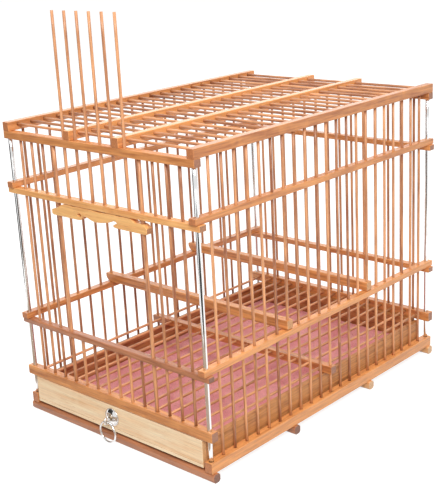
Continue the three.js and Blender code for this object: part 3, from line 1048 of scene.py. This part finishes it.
@dataclass
class TieRods:
    """The four steel rods that draw the corners together."""

    bottom: float = 4.4
    top: float = 280.5

    def build(self) -> None:
        """Makes the rods as one field of two by two."""
        nodes = [f"tie_rod_{end}_{side.value}" for end in ("front", "back") for side in Side]
        BarField("steel_tie_rods", Vector((-CAGE.half_width, CAGE.front_y, (self.bottom + self.top) / 2)),
                 Vector((2 * CAGE.half_width, 0, 0)), 2, Grain.UPRIGHT, CAGE.tie_radius,
                 self.top - self.bottom, row_step=Vector((0, CAGE.back_y - CAGE.front_y, 0)), rows=2,
                 sides=24, bow=0.0, finish=STEEL).build("cage", nodes)


@dataclass
class SideWall:
    """One side wall: a base rail, two rails threaded on the bars, a top rail and 21 bars.

    Attributes:
        side: which wall it is.
        tones: how light each rail's wood is.
        bar_tones: the darkest and lightest bar's tone; the left wall's darker range is partly painted shade.
        base_low: the base rail's underside, and base_height and base_width its section.
        bar_foot: the bars' lower ends, and bar_top their upper ends.
        blind: the depth of the blind holes.
        rod_rise: the top rods' line above the top rail's underside.
    """

    side: Side
    tones: dict[str, float]
    bar_tones: tuple[float, float]
    base_low: float = 8.2
    base_height: float = 10.0
    base_width: float = 8.4
    bar_foot: float = 13.4
    bar_top: float = 280.5
    blind: float = 5.0
    rod_rise: float = 5.0

    def build(self) -> None:
        """Makes the rails and the bars."""
        name = self.side.value
        x = self.side.sign * CAGE.half_width
        bars = [(y, CAGE.bar_radius) for y in CAGE.side_bars]
        reach = span(f"top_rail_{name}")
        base = (Vector((x - self.base_width / 2, reach[0].y, self.base_low)),
                Vector((x + self.base_width / 2, reach[1].y, self.base_low + self.base_height)))
        Rail(f"base_rail_{name}", Grain.LENGTHWISE, tone=self.tones["base"], bars=bars, depth=-self.blind,
             box=base).build()
        for place in ("middle", "upper"):
            Rail(f"side_rail_{place}_{name}", Grain.LENGTHWISE, tone=self.tones[place], bars=bars).build()
        inner = x - self.side.sign * CAGE.rail_width / 2
        z = reach[0].z + self.rod_rise
        rods = [level((inner + self.side.sign * self.blind, y, z), (inner - self.side.sign * PAST, y, z))
                for y in CAGE.top_rods]
        Rail(f"top_rail_{name}", Grain.LENGTHWISE, tone=self.tones["top"], bars=bars, depth=self.blind,
             extra=rods).build()
        BarField(f"bars_side_{name}", Vector((x, CAGE.side_bars[0], (self.bar_foot + self.bar_top) / 2)),
                 Vector((0, CAGE.side_pitch, 0)), len(bars), Grain.UPRIGHT, CAGE.bar_radius,
                 self.bar_top - self.bar_foot, tones=self.bar_tones).build("cage")


@dataclass
class FrontWall:
    """The front wall round the door: four rails, six tall bars, two stiles and six short bars."""

    foot: float = 41.7
    top: float = 273.7
    short_top: float = 93.5
    blind: float = 5.0
    shallow: float = 3.0
    rod_rise: float = 5.3
    worn_edge: float = 1.3

    def build(self) -> None:
        """Makes the rails, then the bars."""
        tall = [(x, CAGE.bar_radius) for x in CAGE.tall_bars]
        stiles = [(CAGE.front_bars[place - 1], CAGE.stile_radius) for place in CAGE.stile_places]
        door = [(x, CAGE.bar_radius) for x in CAGE.door_bars]
        low, high = span("front_rail_lower")
        rods = floor_rod_holes(high.y, 1, self.blind, low.z + self.rod_rise)
        Rail("front_rail_lower", Grain.ACROSS, tone=0.6, bars=tall + stiles + door, depth=-self.blind,
             extra=rods).build()
        low, high = span("front_rail_middle")
        y = (low.y + high.y) / 2
        sockets = [upright(x, y, low.z - PAST, low.z + self.shallow, radius) for x, radius in door]
        Rail("front_rail_middle", Grain.ACROSS, SMOKED, 0.74, tall + stiles, extra=sockets,
             round_over=self.worn_edge).build()
        Rail("front_rail_upper", Grain.ACROSS, PALE, 0.5, tall + stiles + door).build()
        low, high = span("front_rail_top")
        y = (low.y + high.y) / 2
        sockets = [upright(x, y, low.z - PAST, low.z + self.blind, radius) for x, radius in tall + stiles]
        Rail("front_rail_top", Grain.ACROSS, RAIL, 0.5, door, extra=sockets).build()
        self.build_bars()

    def build_bars(self) -> None:
        """Makes the fixed bars."""
        middle = (self.foot + self.top) / 2
        first, last = CAGE.stile_places
        step = Vector((CAGE.front_pitch, 0, 0))
        tall_names = [f"front_bar_{i}" for i in (1, 2, 3, 12, 13, 14)]
        BarField("bars_front", Vector((CAGE.front_bars[0], CAGE.front_y, middle)), step, first - 1,
                 Grain.UPRIGHT, CAGE.bar_radius, self.top - self.foot, row_step=step * last, rows=2
                 ).build("cage", tall_names)
        BarField("bars_stile", Vector((CAGE.front_bars[first - 1], CAGE.front_y, middle)),
                 step * (last - first), 2, Grain.UPRIGHT, CAGE.stile_radius, self.top - self.foot,
                 bow=0.2, tones=(0.3, 0.7)).build("cage", [f"door_stile_{i}" for i in CAGE.stile_places])
        count = len(CAGE.door_bars)
        short = Vector((CAGE.door_bars[0], CAGE.front_y, (self.foot + self.short_top) / 2))
        BarField("bars_under_door", short, step, count, Grain.UPRIGHT, CAGE.bar_radius,
                 self.short_top - self.foot).build("cage", [f"short_bar_{i + 1}" for i in range(count)])


def floor_rod_holes(face: float, inwards: int, depth: float, z: float) -> list[Drill]:
    """The blind holes for the floor rods in a lower rail.

    Args:
        face: Y of the rail's inner face.
        inwards: 1 where the cage's inside is at higher Y, and -1 where it is at lower Y.
        depth: how deep the holes go.
        z: the rods' height.

    Returns:
        One hole for each floor rod.
    """
    return [level((x, face - inwards * depth, z), (x, face + inwards * PAST, z)) for x in CAGE.floor_rods]


@dataclass
class BackWall:
    """The back wall: four rails and 14 bars."""

    foot: float = 43.4
    top: float = 273.7
    blind: float = 5.0
    seat: float = 3.0
    rod_rise: float = 5.3
    lap: float = 0.6

    def build(self) -> None:
        """Makes the rails, the lowest lapping down behind the drawer's back board, and the bars."""
        bars = [(x, CAGE.bar_radius) for x in CAGE.front_bars]
        low, _ = span("back_rail_lower")
        top = span("front_rail_lower")[1].z
        half = CAGE.rail_width / 2
        box = (Vector((low.x, CAGE.back_y - half, low.z - self.lap)),
               Vector((-low.x, CAGE.back_y + half, top)))
        rods = floor_rod_holes(CAGE.back_y - half, -1, self.blind, low.z + self.rod_rise)
        Rail("back_rail_lower", Grain.ACROSS, tone=0.5, bars=bars, depth=-self.seat, box=box,
             extra=rods).build()
        for place in ("middle", "upper"):
            Rail(f"back_rail_{place}", Grain.ACROSS, tone=0.6, bars=bars).build()
        Rail("back_rail_top", Grain.ACROSS, tone=0.5, bars=bars, depth=self.blind).build()
        BarField("bars_back", Vector((CAGE.front_bars[0], CAGE.back_y, (self.foot + self.top) / 2)),
                 Vector((CAGE.front_pitch, 0, 0)), len(bars), Grain.UPRIGHT, CAGE.bar_radius,
                 self.top - self.foot, tones=(0.35, 1.0)).build("cage")


@dataclass
class TopGrille:
    """The roof: 22 rods through two inner rails."""

    rail_x: float = 30.6
    low: float = 275.8
    height: float = 8.3
    rod_z: float = 280.8
    reach: float = 115.55
    tone: float = 0.95

    def build(self) -> None:
        """Makes the two rails and the rods; the left rail stands for the whole grille."""
        first, last = span("top_rail_left")[0].y, span("top_rail_left")[1].y
        half = CAGE.rail_width / 2
        for side in Side:
            x = side.sign * self.rail_x
            holes = [level((x - half - PAST, y, self.rod_z), (x + half + PAST, y, self.rod_z))
                     for y in CAGE.top_rods]
            box = (Vector((x - half, first, self.low)), Vector((x + half, last, self.low + self.height)))
            blank = plank(f"timber_roof_rail_{side.value}", *box)
            made = toned(drilled(blank, holes), self.tone)
            hand_over(made, "cage", RAIL, Grain.LENGTHWISE, ["top_grille"] if side is Side.LEFT else None)
        BarField("rods_roof", Vector((0, CAGE.top_rods[0], self.rod_z)), Vector((0, CAGE.side_pitch, 0)),
                 len(CAGE.top_rods), Grain.ACROSS, CAGE.bar_radius, 2 * self.reach).build("cage")


@dataclass
class FloorGrille:
    """The bar floor: 15 rods through a middle bar."""

    low: float = 37.5
    height: float = 7.7
    reach: float = 118.65
    rod_z: float = 42.8
    rod_half: float = 167.45
    tone: float = 0.3

    def build(self) -> None:
        """Makes the middle bar, which stands for the grille, and the rods."""
        half = CAGE.rail_width / 2
        y = CAGE.set_back
        low = Vector((-self.reach, y - half, self.low))
        high = Vector((self.reach, y + half, self.low + self.height))
        holes = [level((x, low.y - PAST, self.rod_z), (x, high.y + PAST, self.rod_z))
                 for x in CAGE.floor_rods]
        holes += [upright(x, y, low.z - PAST, high.z + PAST, CAGE.bar_radius)
                  for x in (-CAGE.half_width, CAGE.half_width)]
        made = toned(drilled(plank("timber_floor_bar", low, high), holes), self.tone)
        hand_over(made, "cage", RAIL, Grain.ACROSS, ["floor_grille"])
        BarField("rods_floor", Vector((CAGE.floor_rods[0], y, self.rod_z)), Vector((CAGE.front_pitch, 0, 0)),
                 len(CAGE.floor_rods), Grain.LENGTHWISE, CAGE.bar_radius, 2 * self.rod_half,
                 tones=(0.5, 1.0)).build("cage")


@dataclass
class Perches:
    """The two perches, their left ends cut away over the side rail."""

    heel: float = 114.6
    chamfer: float = 5.0
    steps: int = 6
    round_over: float = 0.6
    tones: dict[str, float] = field(default_factory=lambda: {"perch_front": 0.5, "perch_back": 0.6})

    def outline(self, low: Vector, high: Vector) -> list[tuple[float, float]]:
        """The perch seen from the front.

        Args:
            low: its lowest corner.
            high: its highest corner.

        Returns:
            X and Z of each corner, anticlockwise.
        """
        reach = -low.x - self.heel
        cut = bend((0, 0), (0.6 * reach, 0.35 * self.chamfer), (reach, self.chamfer), self.steps)
        rise = [(-self.heel - x, low.z + z) for x, z in cut]
        return [(high.x, low.z), (high.x, high.z), (low.x, high.z), *reversed(rise), (-self.heel, low.z)]

    def build(self) -> None:
        """Makes both perches."""
        for node, tone in self.tones.items():
            low, high = span(node)
            bm = prism([Vector((x, low.y, z)) for x, z in self.outline(low, high)],
                       Vector((0, high.y - low.y, 0)))
            sharp = [e for e in bm.edges if len(e.link_faces) == 2 and e.calc_face_angle(0) > 0.7]
            bmesh.ops.bevel(bm, geom=sharp, offset=self.round_over, segments=3, profile=0.5, affect="EDGES")
            y = (low.y + high.y) / 2
            holes = [upright(x, y, low.z - PAST, high.z + PAST, CAGE.bar_radius)
                     for x in (-CAGE.half_width, CAGE.half_width)]
            made = toned(drilled(object_of(f"timber_{node}", bm), holes), tone)
            hand_over(made, "cage", PERCH, Grain.ACROSS, [node])


@dataclass
class Door:
    """The lifting door: a fretted board on the stiles, which is the finger grip, and six long rods."""

    rod_foot: float = 213.2
    rod_top: float = 383.5
    slide_fit: float = 0.4
    socket: float = 5.0
    half_length: float = 60.6
    height: float = 11.7
    edge: float = 0.5
    eye: tuple[float, float, float, float] = (-23.6, 4.7, 2.7, 1.25)
    eye_facets: int = 24
    steps: int = 5

    def build(self) -> None:
        """Makes the board and the rods."""
        low, high = span("door_board")
        y = (low.y + high.y) / 2
        guides = [upright(CAGE.front_bars[place - 1], y, low.z - PAST, high.z + PAST,
                          CAGE.stile_radius + self.slide_fit) for place in CAGE.stile_places]
        sockets = [upright(x, y, high.z - self.socket, high.z + PAST, CAGE.bar_radius)
                   for x in CAGE.door_bars]
        board = toned(drilled(self.blank(low, high), guides + sockets), 0.95)
        hand_over(board, "door", PALE, Grain.ACROSS, ["door_board"])
        BarField("rods_door", Vector((CAGE.door_bars[0], CAGE.front_y, (self.rod_foot + self.rod_top) / 2)),
                 Vector((CAGE.front_pitch, 0, 0)), len(CAGE.door_bars), Grain.UPRIGHT, CAGE.bar_radius,
                 self.rod_top - self.rod_foot, bow=0.2, tones=(0.3, 0.9)
                 ).build("door", [f"door_rod_{i + 1}" for i in range(len(CAGE.door_bars))])

    def fret(self) -> list[tuple[float, float]]:
        """The board's outline.

        Returns:
            Each corner in shares of the half length and height, clockwise from the lower left.
        """
        curves = [((-.93, .52), (-.87, .63)), ((-.81, .8), (-.77, .91)), ((-.72, 1), (-.66, 1)), ((-.6, 1),),
                  ((-.53, .9), (-.45, 1)), ((-.13, 1),), ((.05, .88), (.23, 1)), ((.38, 1),),
                  ((.46, .9), (.54, 1)), ((.65, 1),), ((.69, .98), (.72, .86)), ((.745, .72), (.8, .71)),
                  ((.86, .78), (.92, .73)), ((.98, .6), (1, .36)), ((1, .02), (.965, .01)), ((.39, .01),),
                  ((.325, .03), (.315, .16)), ((.34, .3), (.395, .37)), ((.405, .49), (.325, .51)),
                  ((.28, .36), (.18, .26)), ((.06, .13), (-.05, .11)), ((-.13, .14), (-.2, .3)),
                  ((-.26, .38), (-.3, .365)), ((-.335, .3), (-.35, .1)), ((-.37, 0), (-.43, 0)), ((-.95, 0),),
                  ((-.995, .01), (-1, .14))]
        points = [(-1.0, .14), (-1.0, .42)]
        for curve in curves:
            points += curve if len(curve) == 1 else bend(points[-1], *curve, self.steps)
        return points[:-1]

    def blank(self, low: Vector, high: Vector) -> bpy.types.Object:
        """The fretted board without its holes, from a flat curve with a rounded edge.

        Args:
            low: its lowest corner.
            high: its highest corner.

        Returns:
            The board, in metres.
        """
        curve = bpy.data.curves.new("fret", "CURVE")
        curve.dimensions = "2D"
        curve.fill_mode = "BOTH"
        curve.extrude = (high.y - low.y) / 2 - self.edge
        curve.bevel_depth = self.edge
        curve.bevel_resolution = 2
        curve.offset = -self.edge
        x, z, across, up = self.eye
        eye = [(x + across * math.cos(a), z + up * math.sin(a)) for a in circle(self.eye_facets)]
        outline = [(u * self.half_length, v * self.height) for u, v in self.fret()]
        for loop in (outline[::-1], eye):
            spline = curve.splines.new("POLY")
            spline.points.add(len(loop) - 1)
            spline.use_cyclic_u = True
            for point, (u, v) in zip(spline.points, loop):
                point.co = (u, v, 0, 1)
        made = settled(linked("timber_door_board", curve))
        stand = Matrix.Rotation(math.pi / 2, 4, "X")
        place = Matrix.Translation((0, (low.y + high.y) / 2, low.z))
        made.data.transform(Matrix.Scale(MM, 4) @ place @ stand)
        bm = bmesh.new()
        bm.from_mesh(made.data)
        bmesh.ops.remove_doubles(bm, verts=bm.verts, dist=1e-6)
        bmesh.ops.recalc_face_normals(bm, faces=bm.faces)
        bm.to_mesh(made.data)
        bm.free()
        return made


@dataclass
class Drawer:
    """The litter drawer: boards round a bottom panel, with paper on it."""

    # The left side board's low tone against the right's high one is partly painted shade on its inner face.
    boards: dict[str, tuple[Timber, Grain, float]] = field(default_factory=lambda: {
        "drawer_front": (PINE, Grain.ACROSS, 0.7), "drawer_side_left": (TRAY, Grain.LENGTHWISE, 0.35),
        "drawer_side_right": (TRAY, Grain.LENGTHWISE, 0.85), "drawer_back": (TRAY, Grain.ACROSS, 0.4)})
    round_over: float = 0.45
    pin_hole: float = 1.1
    pull_x: float = -2.0
    pin_z: float = 24.4
    thickness: float = 5.0
    back_rise: float = 0.3
    panel_edge: float = 0.3
    paper_steps: tuple[int, int] = (24, 36)

    def build(self) -> None:
        """Makes the boards, the panel and the paper."""
        for node, (finish, grain, tone) in self.boards.items():
            low, high = span(node)
            if node == "drawer_back":
                high.z += self.back_rise
            made = plank(f"timber_{node}", low, high, self.round_over)
            if node == "drawer_front":
                made = drilled(made, [Drill(Vector((self.pull_x, low.y - PAST, self.pin_z)),
                                            Vector((self.pull_x, high.y + PAST, self.pin_z)), self.pin_hole)])
            hand_over(toned(made, tone), "drawer", finish, grain, [node])
        self.build_panel()
        self.build_paper()

    def build_panel(self) -> None:
        """Makes the bottom panel, wider under the front board."""
        low, high = span("drawer_panel")
        inner = span("drawer_back")[1].x
        step = low.y + self.thickness
        corners = [(low.x, low.y), (high.x, low.y), (high.x, step), (inner, step), (inner, high.y),
                   (-inner, high.y), (-inner, step), (low.x, step)]
        bm = prism([Vector((x, y, low.z)) for x, y in corners], Vector((0, 0, high.z - low.z)))
        bmesh.ops.bevel(bm, geom=bm.edges[:], offset=self.panel_edge, segments=2, profile=0.5, affect="EDGES")
        made = toned(object_of("timber_drawer_panel", bm), 1.0)
        hand_over(made, "drawer", PINE, Grain.ACROSS, ["drawer_panel"])

    def build_paper(self) -> None:
        """Makes the liner as a thin sheet with a faint wave, thickened downwards."""
        low, high = span("drawer_liner")
        across, along = self.paper_steps
        bm = bmesh.new()
        bmesh.ops.create_grid(bm, x_segments=across, y_segments=along, size=0.5)
        size = high - low
        middle = (low + high) / 2
        for vert in bm.verts:
            x, y = middle.x + vert.co.x * size.x, middle.y + vert.co.y * size.y
            wave = 0.5 + 0.25 * math.sin(x / 17.0) * math.cos(y / 23.0) + 0.15 * math.sin(x / 7.0 + y / 11.0)
            vert.co = (x, y, low.z + 0.3 + 0.45 * wave)
        rims = [e for e in bm.edges if e.is_boundary]
        drawn = bmesh.ops.extrude_face_region(bm, geom=bm.faces[:] + rims)
        moved = [v for v in drawn["geom"] if isinstance(v, bmesh.types.BMVert)]
        for vert in moved:
            vert.co.z = low.z + 0.02
        hand_over(smoothed(object_of("paper_drawer_liner", bm)), "drawer", LINER, Grain.ACROSS,
                  ["drawer_liner"])


@dataclass
class RingPull:
    """The drawer's pull: a domed rosette, a split-pin eye and a loose ring."""

    x: float = -2.0
    rosette_z: float = 25.9
    rosette_radius: float = 8.6
    rosette_height: float = 2.8
    bore: float = 2.9
    eye_radius: float = 3.0
    eye_wire: float = 0.8
    eye_z: float = 24.4
    ring_radius: float = 9.9
    ring_wire: float = 0.9
    ring_z: float = 13.5
    leg_length: float = 7.0
    leg_thickness: float = 0.8
    rosette_facets: int = 56
    eye_facets: int = 40
    ring_facets: int = 72

    def build(self) -> None:
        """Makes the three pieces."""
        face = span("pull_rosette")[1].y
        rim, high = self.rosette_radius, self.rosette_height
        profile = [(self.bore, 0.0), (rim - 0.1, 0.0), (rim, 0.15), (rim, 0.55), (rim - 0.12, 0.72),
                   (rim - 0.5, 0.78), (rim - 0.75, 0.72), (rim - 0.9, 0.9)]
        dome = [(rim - 0.9 - (rim - 1.6 - self.bore) * t, 0.9 + (high - 0.95) * math.sin(t * math.pi / 2))
                for t in [i / 10 for i in range(1, 11)]]
        profile += dome + [(self.bore + 0.35, high), (self.bore, high - 0.35)]
        rosette = revolved("steel_pull_rosette", profile, Vector((self.x, face, self.rosette_z)),
                           self.rosette_facets)
        hand_over(rosette, "drawer", STEEL, Grain.UPRIGHT, ["pull_rosette"])
        low, high_corner = span("pull_eye")
        eye_y = low.y + self.eye_radius + self.eye_wire
        path = [Vector((self.x, eye_y - self.eye_radius * math.cos(a),
                        self.eye_z + self.eye_radius * math.sin(a))) for a in circle(self.eye_facets)]
        loop = wire("eye_loop", path, self.eye_wire, closed=True)
        leg_y = high_corner.y - self.leg_thickness
        shank = wire("eye_shank", [Vector((self.x, eye_y + self.eye_radius, self.eye_z)),
                                   Vector((self.x, leg_y + 0.4, self.eye_z))], self.eye_wire)
        leg = plank("eye_legs", Vector((self.x - self.eye_wire, leg_y, self.eye_z - self.leg_length)),
                    Vector((self.x + self.eye_wire, high_corner.y, self.eye_z + self.leg_length)), 0.25)
        eye = joined("steel_pull_eye", [loop, shank, leg])
        hand_over(eye, "drawer", STEEL, Grain.UPRIGHT, ["pull_eye"])
        path = [Vector((self.x + self.ring_radius * math.cos(a), eye_y,
                        self.ring_z + self.ring_radius * math.sin(a))) for a in circle(self.ring_facets)]
        ring = wire("steel_pull_ring", path, self.ring_wire, sides=16, closed=True)
        hand_over(ring, "ring", STEEL, Grain.UPRIGHT, ["pull_ring"])


# ---------------------------------------------------------------- studio


@dataclass
class Studio:
    """A white floor and world, soft lamps, and the camera at the photograph's angle.

    Attributes:
        eye: the camera's place.
        azimuth: the way that it looks, in degrees from the front towards +X.
        elevation: how far it looks down, in degrees.
        roll: how far it leans, in degrees.
        lens: its focal length, for a long side of 36 mm.
        fill: the world's light on the object.
        target: the point that the lamps face, in metres.
        floor_half: half the floor's side.
        cards: each card's middle and size in millimetres, its turns about X and Z in degrees, and
            its colour.
    """

    eye: Vector = field(default_factory=lambda: Vector((660.43, -722.11, 448.76)))
    azimuth: float = 43.197
    elevation: float = 17.381
    roll: float = -3.046
    lens: float = 76.42
    fill: float = 0.5
    target: Vector = field(default_factory=lambda: Vector((0, 0, 0.15)))
    floor_half: float = 6000.0
    cards: tuple[tuple[Vector, tuple[float, float], float, float, Colour], ...] = (
        (Vector((520, -580, 2)), (820, 560), 0, 45, (62, 60, 58)),
        (Vector((130, -325, 1.5)), (700, 265), 0, 0, (178, 158, 140)),
        (Vector((-330, -480, 210)), (500, 420), 90, -45, (62, 60, 58)))

    def seen_directly(self, w: Wiring) -> bpy.types.NodeSocket:
        """Tells the rays that see a thing from those that only light the object.

        Args:
            w: the wiring to add it to.

        Returns:
            1 for camera, glossy and transmission rays, and 0 for others.
        """
        rays = w.add("ShaderNodeLightPath").outputs
        both = w.maths("MAXIMUM", rays["Is Camera Ray"], rays["Is Glossy Ray"])
        return w.maths("MAXIMUM", both, rays["Is Transmission Ray"])

    def build_world(self) -> None:
        """Makes the white world, softer as light than as a background."""
        world = bpy.data.worlds.new("studio_world")
        bpy.context.scene.world = world
        world.use_nodes = True
        w = Wiring(world.node_tree)
        strength = w.remap(self.seen_directly(w), 0.0, 1.0, self.fill, 1.0)
        light = w.add("ShaderNodeBackground", {"Color": (1, 1, 1, 1), "Strength": strength})
        w.add("ShaderNodeOutputWorld", {"Surface": light.outputs[0]})

    def build_floor(self) -> None:
        """Makes the white floor, which keeps the cage's shadow."""
        bm = bmesh.new()
        bmesh.ops.create_grid(bm, x_segments=1, y_segments=1, size=self.floor_half)
        floor = object_of("studio_floor", bm)
        material, w = new_material("studio_floor")
        plain = w.add("ShaderNodeBsdfDiffuse", {"Color": (0.5, 0.5, 0.5, 1)})
        shade = w.add("ShaderNodeBsdfDiffuse", {"Color": (0.45, 0.45, 0.45, 1)})
        glow = w.add("ShaderNodeEmission", {"Strength": 0.8})
        seen = w.add("ShaderNodeAddShader", {0: shade.outputs[0], 1: glow.outputs[0]})
        mixed = w.add("ShaderNodeMixShader", {0: self.seen_directly(w), 1: plain.outputs[0],
                                              2: seen.outputs[0]})
        w.add("ShaderNodeOutputMaterial", {"Surface": mixed.outputs[0]})
        floor.data.materials.append(material)

    def build_cards(self) -> None:
        """Sets two dark cards and a warm grey one round the cage, seen only in reflections."""
        for i, (middle, size, tilt, turn, colour) in enumerate(self.cards):
            material, w = new_material(f"studio_card_{i + 1}")
            shade = w.add("ShaderNodeBsdfDiffuse", {"Color": linear(colour)})
            w.add("ShaderNodeOutputMaterial", {"Surface": shade.outputs[0]})
            bm = bmesh.new()
            place = (Matrix.Translation(middle) @ Matrix.Rotation(math.radians(turn), 4, "Z")
                     @ Matrix.Rotation(math.radians(tilt), 4, "X") @ Matrix.Diagonal((*size, 1, 1)))
            bmesh.ops.create_grid(bm, x_segments=1, y_segments=1, size=0.5, matrix=place)
            card = object_of(f"studio_card_{i + 1}", bm)
            card.visible_camera = False
            card.visible_diffuse = False
            card.visible_shadow = False
            card.data.materials.append(material)

    def lamp(self, name: str, place: tuple[float, float, float], size: float, power: float) -> None:
        """Hangs a square soft lamp that faces the cage.

        Args:
            name: the lamp's name.
            place: where it hangs, in metres.
            size: its side in metres.
            power: its power in watts.
        """
        data = bpy.data.lights.new(name, "AREA")
        data.size = size
        data.energy = power
        lamp = linked(name, data)
        lamp.location = place
        lamp.rotation_euler = (self.target - lamp.location).to_track_quat("-Z", "Y").to_euler()

    def build_camera(self) -> None:
        """Makes the camera from its place, direction and lean."""
        a, e, r = (math.radians(x) for x in (self.azimuth, self.elevation, self.roll))
        back = Vector((math.sin(a) * math.cos(e), -math.cos(a) * math.cos(e), math.sin(e)))
        side = Vector((0, 0, 1)).cross(back).normalized()
        rise = back.cross(side)
        right = math.cos(r) * side + math.sin(r) * rise
        up = back.cross(right)
        data = bpy.data.cameras.new("camera")
        data.lens = self.lens
        data.clip_start, data.clip_end = 0.01, 50
        camera = linked("camera", data)
        turn = Matrix((right, up, back)).transposed().to_4x4()
        camera.matrix_world = Matrix.Translation(self.eye * MM) @ turn
        bpy.context.scene.camera = camera

    def build(self) -> None:
        """Makes the whole studio."""
        bpy.context.scene.view_settings.view_transform = "Standard"
        self.build_camera()
        self.build_world()
        self.build_floor()
        self.build_cards()
        self.lamp("key", (1.15, -1.05, 1.25), 0.7, 26)
        self.lamp("overhead", (-0.1, 0.2, 1.8), 0.9, 13)
        self.lamp("back", (-1.7, 1.6, 1.0), 1.5, 6)


def main() -> None:
    """Builds the studio and the cage, piece by piece."""
    Studio().build()
    Skids().build()
    TieRods().build()
    # The left wall's bars are set darker than the right's, partly as painted shade.
    SideWall(Side.LEFT, {"base": 0.4, "middle": 0.45, "upper": 0.65, "top": 0.45}, (0.0, 0.6)).build()
    SideWall(Side.RIGHT, {"base": 0.88, "middle": 0.9, "upper": 0.55, "top": 0.32}, (0.1, 0.9)).build()
    FrontWall().build()
    BackWall().build()
    TopGrille().build()
    FloorGrille().build()
    Perches().build()
    Door().build()
    Drawer().build()
    RingPull().build()


if __name__ == "__main__":
    logging.basicConfig(level=logging.INFO, format="%(message)s")
    main()
